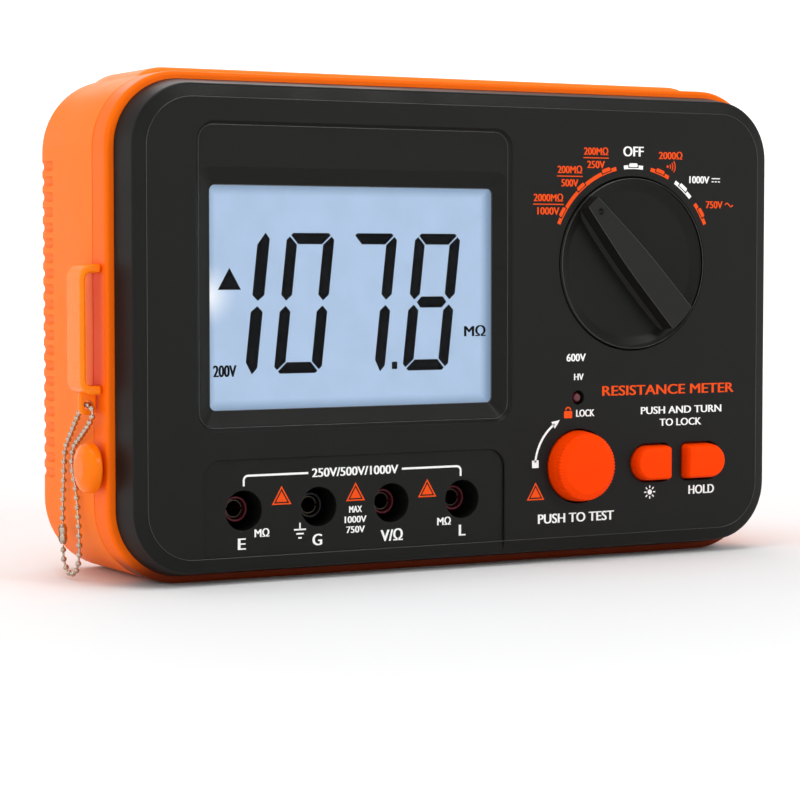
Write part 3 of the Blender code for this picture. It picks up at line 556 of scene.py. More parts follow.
FINISHES |= {
    # The lip's foot colour is painted shade, darkening it towards its bottom edge.
    "lip_orange": moulded("lip_orange", (0.98, 0.145, 0.003), 0.36, relief=0.008, drift=0.03,
                          foot=(0.16, 0.02, 0.004), specular_ior_level=0.05),
    "led_red": moulded("led_red", (0.09, 0.008, 0.014), 0.2, relief=0.002),
    "fuse_glass": moulded("fuse_glass", (0.6, 0.6, 0.56), 0.12, relief=0.001),
    "window_clear": clear_window("window_clear"),
    "lcd_blue": lit_display("lcd_blue"),
    "board_green": circuit_board("board_green"),
    "connector_rubber": striped("connector_rubber", (0.5, 0.5, 0.5), (0.06, 0.06, 0.06),
                                0.5 * MM),
}


# ---- stage ----
def make_camera():
    data = bpy.data.cameras.new("camera")
    data.lens, data.sensor_width = CAMERA_LENS, 36.0
    camera = link("camera", data)
    camera.location = CAMERA_AT
    camera.rotation_euler = (math.pi / 2 + CAMERA_PITCH, 0, CAMERA_YAW)
    bpy.context.scene.camera = camera


def make_floor():
    """Pale floor that curves up all round into a low backdrop."""
    reach, bend, rim_height = 3.6, 0.6, 1.2
    turns = [math.pi / 2 * i / 16 for i in range(17)]
    profile = [(0.0, 0.0), *((reach + bend * math.sin(a), bend * (1 - math.cos(a))) for a in turns),
               (reach + bend, rim_height)]
    floor = lathe("studio_floor", profile, Vector((0, 0, 0)), "up", 96)
    floor.data.shade_smooth()
    paper = Surface("studio_paper", roughness=0.9, emission_color=(1.0, 1.0, 1.0, 1.0))
    tone = paper.spread(paper.noise(0.4, 2.0))
    far = paper.spread(paper.measure("DISTANCE", (0, 0, 0)), 0.0, 0.5, 0.25, 1.3)
    floor.data.materials.append(paper.set(
        base_color=paper.blend(tone, (0.8, 0.8, 0.8), (0.84, 0.84, 0.84)), emission_strength=far))


def make_lights():
    """Soft studio lamps, and a world that is brighter above and behind."""
    world = bpy.data.worlds.new("studio")
    world.use_nodes = True
    nodes = Nodes(world.node_tree, "Generated")
    background = nodes.tree.nodes["Background"]
    background.inputs["Color"].default_value = (1.0, 1.0, 1.0, 1.0)
    lift = nodes.measure("DOT_PRODUCT", (-0.2, 0.57, 0.8))
    nodes.feed(background.inputs["Strength"], nodes.spread(lift, 0.1, 0.75, -0.8, 0.8))
    bpy.context.scene.world = world
    bpy.context.scene.view_settings.view_transform = "Standard"

    target = Vector((0, 0, CENTRE_Z))
    lamps = (("top", (-0.2, -0.2, 1.9), 1.3, 16.0), ("left", (-1.5, -0.5, 0.8), 0.6, 2.4),
             ("front", (0.9, -1.7, 1.3), 0.7, 11.5), ("rear", (0.5, 1.7, 1.2), 1.0, 6.0))
    for name, place, size, power in lamps:
        lamp = bpy.data.lights.new(name, "AREA")
        lamp.size, lamp.energy = size, power
        holder = link(name, lamp)
        holder.location = place
        holder.rotation_euler = (target - holder.location).to_track_quat("-Z", "Y").to_euler()


# ---- ball chain ----
CLASP = middle("chain_clasp")
CLASP_RISE, CLASP_DEPTH = -CASE_SIDE - CLASP.x, CLASP.y - FACE_Y
CHAIN_END = 3.0 * MM             # from the clasp's middle to each end of the chain
CHAIN_LOOP = ((1.3, 36.6, 27.0), (1.3, 35.4, 34.0), (1.7, 30.0, 39.0), (2.4, 22.4, 44.6),
              (2.7, 18.6, 46.8), (2.7, 16.5, 46.9), (2.7, 14.0, 46.6), (2.6, 13.0, 44.6),
              (2.3, 16.6, 41.6), (1.7, 23.4, 38.2), (1.3, 29.8, 34.6), (1.3, 30.6, 29.5),
              (1.3, 28.0, 23.5), (1.3, 26.2, 13.0), (1.3, 26.4, 6.0), (1.3, 29.0, 2.2),
              (1.4, 33.4, 1.7), (1.5, 36.5, 4.6))        # rise off the side, depth and z, mm
CHAIN_ROUTE = [(CLASP_RISE, CLASP_DEPTH, CLASP.z + CHAIN_END),
               (CLASP_RISE, CLASP_DEPTH, CLASP.z + 7 * MM),
               *(tuple(value * MM for value in point) for point in CHAIN_LOOP),
               (CLASP_RISE, CLASP_DEPTH, CLASP.z - CHAIN_END)]


def smooth_through(points):
    """Dense points on a smooth curve through the given points."""
    dense = []
    padded = [points[0] * 2 - points[1], *points, points[-1] * 2 - points[-2]]
    for before, start, end, after in zip(padded, padded[1:], padded[2:], padded[3:]):
        lead, trail = (end - before) / 6, (after - start) / 6
        dense += interpolate_bezier(start, start + lead, end - trail, end, 16)[:-1]
    return [*dense, points[-1]]


def along(path, distances):
    """Places and directions at distances along a path."""
    found, walked, index = [], 0.0, 0
    for distance in distances:
        while index < len(path) - 2 and walked + (path[index + 1] - path[index]).length < distance:
            walked += (path[index + 1] - path[index]).length
            index += 1
        step = path[index + 1] - path[index]
        found.append((path[index] + step.normalized() * (distance - walked), step.normalized()))
    return found


def make_chain():
    """Ball chain as one tube that swells into beads, and its clasp."""
    path = smooth_through([at(-CASE_SIDE - rise, depth, z) for rise, depth, z in CHAIN_ROUTE])
    length = sum((b - a).length for a, b in zip(path, path[1:]))
    link_radius = 0.18 * MM
    bead_count = round(length / (2.5 * MM))
    pitch = length / bead_count
    bead_turns = [math.radians(a) for a in (22, 40, 60, 80, 100, 120, 140, 158)]
    distances, radii = [0.0], [link_radius]
    for bead in range(bead_count):
        for turn in bead_turns:
            distances.append(pitch * (bead + 0.5) - CHAIN_BEAD * math.cos(turn))
            radii.append(CHAIN_BEAD * math.sin(turn))
    distances.append(length)
    radii.append(link_radius)

    bm = bmesh.new()
    rings, sides, across = [], 12, Vector((1, 0, 0))
    for (place, direction), radius in zip(along(path, distances), radii):
        across = (across - direction * across.dot(direction)).normalized()
        other = direction.cross(across)
        rings.append([bm.verts.new(place + (across * math.cos(a) + other * math.sin(a)) * radius)
                      for a in (math.tau * i / sides for i in range(sides))])
    skin_rings(bm, rings)
    bm.faces.new(rings[0])
    bm.faces.new(rings[-1])
    chain = finish(solid("ball_chain_beads", bm), "chain_silver", replaced=("ball_chain",))

    profile = soften([(0, -2.7, 0), (0.75, -2.7, 0.2), (0.85, -2.2, 0.2), (1.15, -1.7, 0.3),
                      (1.15, -0.5, 0.1), (1.02, -0.35, 0.1), (1.02, 0.35, 0.1), (1.15, 0.5, 0.1),
                      (1.15, 1.7, 0.3), (0.85, 2.2, 0.2), (0.75, 2.7, 0.2), (0, 2.7, 0)], 3)
    clasp = lathe("chain_clasp_sleeve", profile[::-1], CLASP, "up", 32)
    slot_cut = block("clasp_slot", (CLASP.x - 2 * MM, CLASP.x - 0.7 * MM),
                     (CLASP.y - FACE_Y - 0.3 * MM, CLASP.y - FACE_Y + 0.3 * MM),
                     (CLASP.z - 4 * MM, CLASP.z + 4 * MM))
    clasp = finish(cut(clasp, slot_cut), "chain_silver", replaced=("chain_clasp",))


# ---- case ----
def key_outline(centre, width, height, flat_side, grow=0.0):
    """Outline of a D shaped key, with its flat end at flat_side (-1 or +1)."""
    half_width, half_height = width / 2 + grow, height / 2 + grow
    corner = 1.2 * MM + max(grow, -0.8 * MM)
    round_x = centre.x - flat_side * (half_width - half_height)
    flat_x = centre.x + flat_side * (half_width - corner)
    start = 90 if flat_side > 0 else -90
    rise = flat_side * (half_height - corner)
    return (arc(round_x, centre.z, half_height, start, start + 180, 28)
            + arc(flat_x, centre.z - rise, corner, start + 180, start + 270, 6)
            + arc(flat_x, centre.z + rise, corner, start + 270, start + 360, 6))


def edge_bead(name, outline_at, depth, radius):
    """Fine rounded edge along an outline, which catches the light; depth and radius in mm."""
    turns = [math.tau * i / 10 for i in range(10)]
    return loft(name, [((depth + radius * math.sin(turn)) * MM,
                        outline_at(radius * math.cos(turn) * MM)) for turn in turns], closed=True)


def jack_outline(low):
    """Outline of the jack recess down to a height, as a function of its growth."""
    left, right, top = JACK_RECESS
    return grower_between((left, right), (low, top), JACK_RECESS_CORNER)


def make_cover():
    """Black cover: sloping border, flared wall, recesses, and holes with softened rims."""
    profile = soften([(9.0, 0, 0), (7.15, 0, 0.1), (7.0, 0.2, 0.05), (3.6, 0.95, 1.0),
                      (2.0, 9.5, 0.3), (3.7, 9.5, 0), (3.7, 13.0, 0)], 6)
    cover = loft("cover_shell", [(depth, inset_case(inset)) for inset, depth in profile])
    cavity = inset_case(FACE_INSET + 3.1 * MM)
    seat = loft("dial_seat", [(depth, circle(DIAL, DIAL_RADIUS + 2.3 * MM, 96))
                              for depth in (COVER_SKIN - 0.4 * MM, 6.2 * MM)])
    cut(cover, loft("cover_cavity", [(COVER_SKIN, cavity), (20 * MM, cavity)]))
    join(cover, seat)

    window_outline = grower(*WINDOW_RECESS, (WINDOW.x, WINDOW_RECESS_Z))
    display_outline = grower(*LCD_VIEW, (WINDOW.x, WINDOW.z))

    def slope_outline(share):
        """Outline between the display's edge, at 0, and the top of its slope, at 1."""
        return rounded(LCD_VIEW[0] + 7.0 * MM * share, LCD_VIEW[1] + 8.4 * MM * share,
                       (1.6 + share) * MM, (WINDOW.x, WINDOW.z + 0.2 * MM * share))

    recess_wall = rim(0.25 * MM) + [(-0.5 * MM, 0.8 * MM), (-0.8 * MM, 1.0 * MM)]
    slope = [(0.3 * MM, 1.06), (1.0 * MM, 1.02), (1.15 * MM, 0.97), (3.0 * MM, 0.04),
             (3.2 * MM, 0.0), (8 * MM, 0.0)]
    tools = [
        loft("window_recess", [(-2 * MM, window_outline(0.25 * MM))]
             + [(depth, window_outline(growth)) for growth, depth in recess_wall]),
        loft("window_opening", [(depth, slope_outline(share)) for depth, share in slope]),
        well("jack_recess", jack_outline(-20 * MM), rim(0.3 * MM), JACK_RECESS_DEPTH),
        loft("jack_opening", [(depth, jack_outline(JACK_PANEL_LOW)(0.0))
                              for depth in (0.4 * MM, 8 * MM)]),
        round_well("dial_pocket", DIAL, DIAL_RADIUS + 0.35 * MM, 3.8 * MM, 0.25 * MM, 96),
        round_well("dial_hole", DIAL, 6.6 * MM, 8 * MM),
        round_well("test_hole", TEST, TEST_RADIUS + 0.4 * MM, 8 * MM, 0.3 * MM, 72),
        round_well("led_hole", LED, 1.9 * MM, 8 * MM, 0.3 * MM, 32),
    ]
    for name, *shape in KEYS:
        tools.append(well(name + "_hole", lambda growth, shape=shape:
                          key_outline(*shape, 0.45 * MM + growth), rim(0.3 * MM), 8 * MM))
    cut(cover, *tools)
    finish(cover, "cover_black", replaced=("front_cover",), crease=30)

    edges = (("cover_edges", lambda grow: inset_case(7.1 * MM - grow), 0.06, 0.08),
             ("border_edge", lambda grow: inset_case(3.8 * MM - grow), 1.14, 0.08),
             ("recess_edge", lambda grow: window_outline(grow - 0.8 * MM), 1.0, 0.1),
             ("slope_edge", display_outline, 3.05, 0.12))
    finish(join(*(edge_bead(*edge) for edge in edges)), "cover_black", finish_name="edge_black")


def make_jack_panel():
    outline = jack_outline(JACK_PANEL_LOW)(-0.02 * MM)
    panel = loft("jack_panel_plate", [(depth, outline)
                                      for depth in (JACK_RECESS_DEPTH, COVER_SKIN)])
    for place in JACKS.values():
        hole = [(growth, depth + JACK_RECESS_DEPTH) for growth, depth in rim(0.25 * MM)]
        cut(panel, well("jack_hole", lambda growth, c=place: circle(c, JACK_HOLE + growth, 56),
                        hole, 8 * MM))
    finish(panel, "cover_black", replaced=("jack_panel",), crease=30)


def sweep_case(name, corners):
    """Ring round the case with a profile of (inset, depth, rounding) in mm."""
    profile = soften(corners, closed=True)
    return loft(name, [(depth, inset_case(inset)) for inset, depth in profile], closed=True)


def make_frame():
    """Bright lip all round the cover."""
    lip, seam = LIP_DEPTH / MM, SEAM_FRONT / MM
    ring = sweep_case("frame_ring", [(3.4, lip, 0.1), (0.0, lip, 1.2), (0.0, seam, 0.3),
                                     (3.4, seam, 0)])
    finish(ring, "case_orange", replaced=("front_frame",), finish_name="lip_orange")


def make_shell():
    """Rear shell: raised pad along the top, grip grooves, and the back's recesses."""
    back = CASE_DEPTH / MM
    profile = soften([(0.6, SEAM_BACK / MM, 0), (0.0, SEAM_BACK / MM, 0.3), (0.0, back, 2.6),
                      (6.0, back, 0)], 8)
    shell = loft("rear_shell_body", [(depth, inset_case(inset)) for inset, depth in profile])
    pad = block("top_pad", (-93.5 * MM, 93.5 * MM), (22 * MM, 53.4 * MM), (100 * MM, PAD_TOP),
                13 * MM, 14)
    join(shell, bevel(pad, 2.2 * MM, 5))
    cavity = inset_case(3.2 * MM)
    cut(shell, loft("shell_cavity", [(10 * MM, cavity), (CASE_DEPTH - 2.8 * MM, cavity)]))

    tools = [back_well("screw_well", lambda growth, c=place: circle(c, 3.4 * MM + growth, 40),
                       9 * MM, 0.5 * MM) for _, place in CASE_SCREWS]
    for name, left, right, low, high, corner, depth in (
            ("door_recess", DOOR_LOW.x - 0.3 * MM, DOOR_HIGH.x + 0.3 * MM,
             DOOR_LOW.z - 0.3 * MM, DOOR_HIGH.z + 0.3 * MM, 2.5 * MM, 1.7 * MM),
            ("stand_pocket", STAND_LOW.x - 0.4 * MM, STAND_HIGH.x + 0.4 * MM,
             STAND_LOW.z - 0.5 * MM, PIN.z + 2.4 * MM, 0.8 * MM, 4.8 * MM),
            ("finger_notch", -11 * MM, 11 * MM, STAND_LOW.z - 4.5 * MM, STAND_LOW.z + 1 * MM,
             2 * MM, 4.1 * MM)):
        tools.append(back_well(name, grower_between((left, right), (low, high), corner), depth))
    join(shell, block("stand_seat", (STAND_LOW.x - 6 * MM, STAND_HIGH.x + 6 * MM),
                      (48.2 * MM, 54 * MM), (STAND_LOW.z - 6 * MM, PIN.z + 5 * MM)))
    cut(shell, *tools)

    grooves = []
    for side in (-1, 1):
        for i in range(GROOVE_COUNT):
            z = GROOVE_LOW_Z + i * GROOVE_PITCH
            grooves.append(grip_groove(side * (CASE_SIDE + 0.25 * MM), z))
    cut(shell, *grooves)
    finish(shell, "case_orange", replaced=("rear_shell",), crease=42)


def back_well(name, outline_at, depth, edge=0.35 * MM):
    """Cutter for a recess in the back, with a softened rim."""
    steps = [(edge, -2 * MM), *rim(edge), (0.0, depth)]
    return loft(name, [(CASE_DEPTH - down, outline_at(growth)) for growth, down in steps])


def grip_groove(x, z):
    """Rod with a domed front end, which cuts one groove."""
    radius = 1.35 * MM
    turns = [math.radians(a) for a in (12, 30, 50, 70, 90)]
    sections = [(GROOVE_DEPTH + radius * (1 - math.cos(a)), radius * math.sin(a)) for a in turns]
    sections.append((CASE_DEPTH + 4 * MM, radius))
    return loft("grip_groove", [(depth, circle(Vector((x, 0, z)), reach, 20))
                                for depth, reach in sections])


# ---- side fittings ----
def loop_outline(side):
    """Outline of a strap loop: a bar held off the case by an arm at each end."""
    low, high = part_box("strap_loop_right")
    root, outer = side * low.x, side * high.x
    inner = outer - side * 1.6 * MM
    big, small, arm = 3.6 * MM, 1.6 * MM, 2.3 * MM

    def corner(x, z, radius, start, end):
        if side < 0:
            start, end = 180 - start, 180 - end
        return arc(x, z, radius, start, end, 8)

    return [(root, low.z), *corner(outer - side * big, low.z + big, big, -90, 0),
            *corner(outer - side * big, high.z - big, big, 0, 90), (root, high.z),
            (root, high.z - arm),
            *corner(inner - side * small, high.z - arm - small, small, 90, 0),
            *corner(inner - side * small, low.z + arm + small, small, 0, -90),
            (root, low.z + arm)]


def make_loops():
    for name, side in (("left", -1), ("right", 1)):
        _, depths, _ = ranges(*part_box(f"strap_loop_{name}"))
        outline = loop_outline(side)
        loop = bevel(loft(f"strap_loop_bar_{name}", [(depth, outline) for depth in depths]),
                     0.75 * MM)
        if name == "left":
            lug_depth = LUG.y - FACE_Y
            tab = block("chain_lug", (LUG.x - 2.4 * MM, -CASE_SIDE - 0.3 * MM),
                        (lug_depth - 1 * MM, lug_depth + 1 * MM),
                        (LUG.z - 2.6 * MM, LUG.z + 3.7 * MM), 1.75 * MM)
            join(loop, bevel(tab, 0.75 * MM, 4))
            cut(loop, loft("lug_hole", [(depth, circle(LUG, 1.35 * MM, 24))
                                        for depth in (lug_depth - 3 * MM, lug_depth + 3 * MM)]))
        finish(loop, "case_orange", replaced=(f"strap_loop_{name}",), finish_name="loop_orange")


def make_studs():
    profile = soften([(0, 5.7, 0), (3.2, 5.7, 2.6), (6.5, 4.5, 2.2), (6.5, 1.4, 0.7),
                      (3.0, 1.3, 0), (3.0, 0.3, 0), (0, 0.3, 0)], 10)
    for name, side in (("left", -1), ("right", 1)):
        place = Vector((side * CASE_SIDE, STUDS[name].y, STUDS[name].z))
        finish(lathe(f"strap_stud_cap_{name}", profile, place, name), "trim_orange",
               finish_name="stud_orange", replaced=(f"strap_stud_{name}",))


# ---- controls ----
def bar_outline(grow):
    """Outline of the dial's pointer bar, widened all round, turned to its rest angle."""
    side = smooth_through([Vector((half, reach, 0)) for reach, half in DIAL_BAR])[::4]
    side = [(p.x * MM + grow, p.y * MM + grow * (0.3 if p.y > 0 else -0.3)) for p in side]
    tail_reach = math.hypot(*side[-1])
    swing = math.degrees(math.atan2(side[-1][0], -side[-1][1]))
    tail_arc = arc(0, 0, tail_reach, -90 + swing, -90 - swing, 8)[1:-1]
    outline = side + tail_arc + [(-x, z) for x, z in reversed(side)]
    sine, cosine = math.sin(DIAL_REST_ANGLE), math.cos(DIAL_REST_ANGLE)
    return [(DIAL.x + x * cosine - z * sine, DIAL.z + x * sine + z * cosine) for x, z in outline]


def make_dial():
    """Dished dial with a tapered pointer bar, whose foot flares into the dish."""
    profile = soften([(0, -1.7, 0), (12, -1.7, 8), (20.5, -1.4, 3), (22.9, -0.55, 0.5),
                      (23.9, -0.45, 0.35), (24.1, -1.0, 0.2), (24.1, -3.5, 0.1), (6.0, -3.5, 0),
                      (6.0, -14.4, 0), (0, -14.4, 0)], 6)
    dial = lathe("range_dial_disc", profile, face_point(DIAL), steps=128)
    rise = soften([(-0.6, -3.9, 0), (0.0, -3.9, 0.25), (0.25, 0.5, 0.6), (1.25, 1.62, 0.3),
                   (1.4, 2.6, 0)], 4)
    bar = loft("pointer_bar", [(depth, bar_outline(grow)) for grow, depth in rise])
    sine, cosine = math.sin(DIAL_REST_ANGLE), math.cos(DIAL_REST_ANGLE)
    dimple_along = 19.6 * MM
    dimple = at(DIAL.x - dimple_along * sine, DIAL_BAR_TOP, DIAL.z + dimple_along * cosine)
    cap = soften([(0, -0.75, 0), (0.5, -0.7, 0.3), (0.85, -0.2, 0.2), (1.1, 0.3, 0), (0, 0.3, 0)])
    cut(bar, lathe("dimple", cap, dimple, steps=24))
    finish(dial, "dial_black", "dial", ("range_dial",), crease=30)
    finish(bar, "dial_black", "dial", ("range_dial",), "bar_black", 30)
    rim_radius = DIAL_RADIUS - 0.3 * MM
    edges = join(
        edge_bead("dial_edges", lambda grow: circle(DIAL, rim_radius + grow, 128), -0.45, 0.1),
        edge_bead("bar_edge", lambda grow: bar_outline(grow - 0.05 * MM), -3.85, 0.09))
    finish(edges, "dial_black", "dial", ("range_dial",), "edge_black")


def make_test_button():
    """Push button with a flat top and fine ribs round its shoulder."""
    outer = TEST_RADIUS / MM
    profile = soften([(0, 5.6, 0), (outer - 2.5, 5.55, 1.2), (outer - 0.7, 4.4, 0.9),
                      (outer - 0.25, 2.2, 0.5), (outer, -0.4, 0), (outer, -6.0, 0),
                      (outer - 1.3, -6.0, 0), (outer - 1.3, 2.0, 0), (0, 2.0, 0)], 7)
    rib_count, rib = 60, 0.15 * MM

    def ripple(angle, height):
        share = max(0.0, 1 - abs(height - 4.5 * MM) / (1.1 * MM))
        return rib * share * math.cos(rib_count * angle)

    button = lathe("test_button_cap", profile, face_point(TEST), steps=rib_count * 6,
                   ripple=ripple)
    finish(button, "trim_orange", "test_cap", ("test_button",))


def make_keys():
    rise = KEY_RISE / MM
    profile = soften([(-3.2, -rise - 0.1, 0), (-0.75, -rise, 0.9), (-0.25, 1.2 - rise, 0.5),
                      (0.0, 0.0, 0), (0.0, 3.9, 0), (1.2, 3.9, 0), (1.2, 5.2, 0)], 6)
    bodies = {"backlight_button": "backlight_key", "hold_button": "hold_key"}
    for name, *shape in KEYS:
        key = loft(name + "_cap", [(depth, key_outline(*shape, grow)) for grow, depth in profile])
        finish(key, "trim_orange", bodies[name], (name,))


def make_lamp():
    profile = soften([(0, -0.4, 0), (1.0, -0.45, 0.5), (1.5, -1.2, 0.6), (1.5, -8.0, 0),
                      (1.9, -8.0, 0), (1.9, -9.0, 0), (0, -9.0, 0)], 6)
    finish(lathe("hv_lamp_lens", profile, face_point(LED), steps=32), "led_red",
           replaced=("hv_led",))


# ---- jacks ----
def make_jacks():
    """Each jack: a black cup, a coloured sleeve in its middle, and a split contact tube."""
    cup = soften([(5.6, -3.7, 0.3), (7.3, -3.7, 0.2), (7.3, -26.0, 0), (5.6, -26.0, 0)],
                 closed=True)
    sleeve = soften([(2.8, -5.8, 0.15), (3.4, -5.8, 0.3), (3.4, -24.2, 0), (5.5, -24.2, 0),
                     (5.5, -25.6, 0), (2.8, -25.6, 0)], closed=True)
    tube = soften([(0, -23, 0), (2.0, -23, 0), (2.0, -7.0, 0.15), (2.5, -7.0, 0.2),
                   (2.5, -26.4, 0), (1.2, -26.4, 0), (1.2, -31.0, 0), (0, -31.0, 0)])
    for name, place in JACKS.items():
        place_at = face_point(place)
        tone = "jack_black" if name == "guard" else "jack_red"
        finish(lathe(f"jack_cup_{name}", cup, place_at, closed=True), tone,
               finish_name="jack_black", replaced=(f"jack_body_{name}",))
        finish(lathe(f"jack_sleeve_{name}", sleeve, place_at, closed=True), tone,
               replaced=(f"jack_body_{name}",))
        contact = lathe(f"jack_contact_tube_{name}", tube, place_at, steps=32)
        cut(contact, block("contact_slot", (place.x - 4 * MM, place.x + 4 * MM), (5 * MM, 16 * MM),
                           (place.z - 0.3 * MM, place.z + 0.3 * MM)))
        finish(contact, "contact_brass", replaced=(f"jack_contact_{name}",))


# ---- display ----
def make_display():
    for name, node, corner, edge, slot in (
            ("display_pane", "display_window", 1.5, 0.15, "window_clear"),
            ("display_glass", "lcd_panel", 0.8, 0.2, "lcd_blue")):
        sheet = block(name, *ranges(*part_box(node)), corner * MM)
        finish(bevel(sheet, edge * MM, 2), slot, replaced=(node,))


def near(place, x, z):
    """Point in the X-Z plane, offset from a place by millimetres."""
    return place.x + x * MM, place.z + z * MM


class Ink:
    """Thin plates of one ink, gathered into one mesh. Sizes are in mm, points in metres."""

    def __init__(self, name, tone, front, back):
        self.name, self.tone, self.depths, self.bm = name, tone, (front, back), bmesh.new()

    def plate(self, outline):
        rings = [[self.bm.verts.new(at(x, depth, z)) for x, z in outline] for depth in self.depths]
        skin_rings(self.bm, rings)
        for ring in rings:
            self.bm.faces.new(ring)

    def strip(self, points, width, closed=False):
        """Line of an even width along points."""
        stops = [Vector(point) for point in points]
        rings = []
        for i, stop in enumerate(stops):
            last = i == len(stops) - 1
            before = (stop - stops[i - 1]).normalized() if i or closed else Vector((0, 0))
            after = (stops[0 if last else i + 1] - stop).normalized()
            if last and not closed:
                after = before
            course = (before + after).normalized()
            half = width * MM / 2 / max(course.dot(after), 0.4)
            side = Vector((-course.y, course.x)) * half
            corners = [(stop + side, self.depths[0]), (stop - side, self.depths[0]),
                       (stop - side, self.depths[1]), (stop + side, self.depths[1])]
            rings.append([self.bm.verts.new(at(p.x, depth, p.y)) for p, depth in corners])
        skin_rings(self.bm, rings, closed)
        if not closed:
            self.bm.faces.new(rings[0])
            self.bm.faces.new(rings[-1])

    def words(self, words, place, height, width):
        """Words centred on a place, stretched to a width and to the height of their capitals."""
        curve = bpy.data.curves.new("words", "FONT")
        curve.body, curve.resolution_u, curve.extrude = words, 4, 0.5
        text = link("words", curve)
        bpy.context.view_layer.update()
        graph = bpy.context.evaluated_depsgraph_get()
        mesh = bpy.data.meshes.new_from_object(text.evaluated_get(graph))
        xs = [v.co.x for v in mesh.vertices]
        left, right = min(xs), max(xs)
        front, back = self.depths
        height, width = height * MM, width * MM
        bold = 0.045 * height
        size = ((width - 2 * bold) / (right - left), height / 0.69, back - front, 1.0)
        fit = (Matrix.Translation((place[0], FACE_Y + (front + back) / 2, place[1] - height / 2))
               @ Matrix.Rotation(math.pi / 2, 4, "X") @ Matrix.Diagonal(size)
               @ Matrix.Translation((-(left + right) / 2, 0, 0)))
        mesh.transform(Matrix.Translation((-bold, 0, 0)) @ fit)
        for _ in range(3):                            # struck three times, for bold strokes
            self.bm.from_mesh(mesh)
            mesh.transform(Matrix.Translation((bold, -0.002 * MM, 0)))
        bpy.data.objects.remove(text)
        bpy.data.curves.remove(curve)

    def triangle(self, place, width, line=0.35):
        """Plain triangle with a thin unprinted line inside its edge."""
        self.strip(triangle(place, width, 2 * line / width), line, closed=True)
        self.plate(triangle(place, width, 0.2 + 4 * line / width))

    def finish(self):
        bmesh.ops.remove_doubles(self.bm, verts=self.bm.verts, dist=0.002 * MM)
        finish(solid(self.name, self.bm), None, finish_name=self.tone, crease=60)


def triangle(place, width, shrink=0.0):
    """Outline of an upright triangle centred on a place."""
    height, scale = width * 0.86 * MM, 1 - shrink
    heart = place[1] - height / 6
    corners = ((0, height * 2 / 3), (width * MM / 2, -height / 3), (-width * MM / 2, -height / 3))
    return [(place[0] + u * scale, heart + v * scale) for u, v in corners]


DIGIT_WIDTH, DIGIT_HEIGHT, DIGIT_LEAN = 14.0, 36.9, 0.112            # sizes in mm
DIGIT_FOOT = Vector((WINDOW.x, 0, WINDOW.z - 20.0 * MM))


def lean(foot, outline):
    """Outline of a segment, leaning like the digits, on its digit's foot."""
    return [near(DIGIT_FOOT, foot + u + DIGIT_LEAN * v, v) for u, v in outline]


def upright(foot, column, upper, thick=3.1, pointed=False):
    """Upright bar of a seven segment digit, as a leaning outline; column 1 is on the right."""
    mid = DIGIT_HEIGHT / 2
    if pointed:
        top = [(0.0, 3.1), (thick * 0.6, 0.0), (thick, 1.6)]
    else:
        top = [(0.0, 1.8), (0.85, 0.95), (thick, thick)]
    outline = [(u, DIGIT_HEIGHT - drop) for u, drop in top]
    outline += [(thick, mid + 2.2), (thick / 2, mid + 0.7), (0.0, mid + 2.2)]
    if column and pointed:
        outline = [(DIGIT_WIDTH - thick + u, v) for u, v in outline]
    elif column:
        outline = [(DIGIT_WIDTH - u, v) for u, v in outline]
    if not upper:
        outline = [(u, DIGIT_HEIGHT - v) for u, v in outline]
    return lean(foot, outline)


def crossbar(foot, level):
    """Crossbar of a digit: level 1 at the top, -1 at the bottom, 0 in the middle."""
    if level:
        left = [(u, DIGIT_HEIGHT - v) for u, v in ((3.5, 2.95), (1.2, 0.6), (1.8, 0.0))]
    else:
        left = [(u, DIGIT_HEIGHT / 2 + v) for u, v in ((3.7, -1.5), (2.4, 0), (3.7, 1.5))]
    outline = left + [(DIGIT_WIDTH - u, v) for u, v in reversed(left)]
    if level < 0:
        outline = [(u, DIGIT_HEIGHT - v) for u, v in outline]
    return lean(foot, outline)


def make_reading():
    """Reading on the display: 107.8, its unit, the test voltage and a plain triangle."""
    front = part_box("lcd_panel")[0].y - FACE_Y
    ink = Ink("display_reading", "ink_display", front - 0.12 * MM, front + 0.05 * MM)
    corners = [(column, upper) for column in (0, 1) for upper in (0, 1)]
    for upper in (0, 1):
        ink.plate(upright(-42.1, 1, upper, 3.4, True))
    for foot, uprights, levels in ((-23.1, corners, (1, -1)), (-4.1, [(1, 1)], (1,)),
                                   (15.5, corners, (1, 0, -1))):
        for column, upper in uprights:
            ink.plate(upright(foot, column, upper))
        for level in levels:
            ink.plate(crossbar(foot, level))
    ink.plate(upright(-4.1, 1, 0, pointed=True))
    ink.plate(rounded(1.6 * MM, 2.0 * MM, 0.2 * MM, near(DIGIT_FOOT, 13.1, 1.5), 2))
    ink.words("MΩ", near(WINDOW, 38.2, -9.6), 2.8, 6.8)
    ink.words("200V", near(WINDOW, -37.2, -19.0), 3.0, 6.7)
    ink.plate(triangle(near(WINDOW, -35.8, 4.9), 6.6))
    ink.finish()


# ---- legends ----
def dial_place(angle, radius):
    """Place at an angle in degrees clockwise from the top of the dial, and a radius in mm."""
    turn = math.radians(angle)
    return near(DIAL, radius * math.sin(turn), radius * math.cos(turn))


def dial_arc(start, end, radius):
    steps = max(2, round(abs(end - start) / 3))
    return [dial_place(start + (end - start) * i / steps, radius) for i in range(steps + 1)]


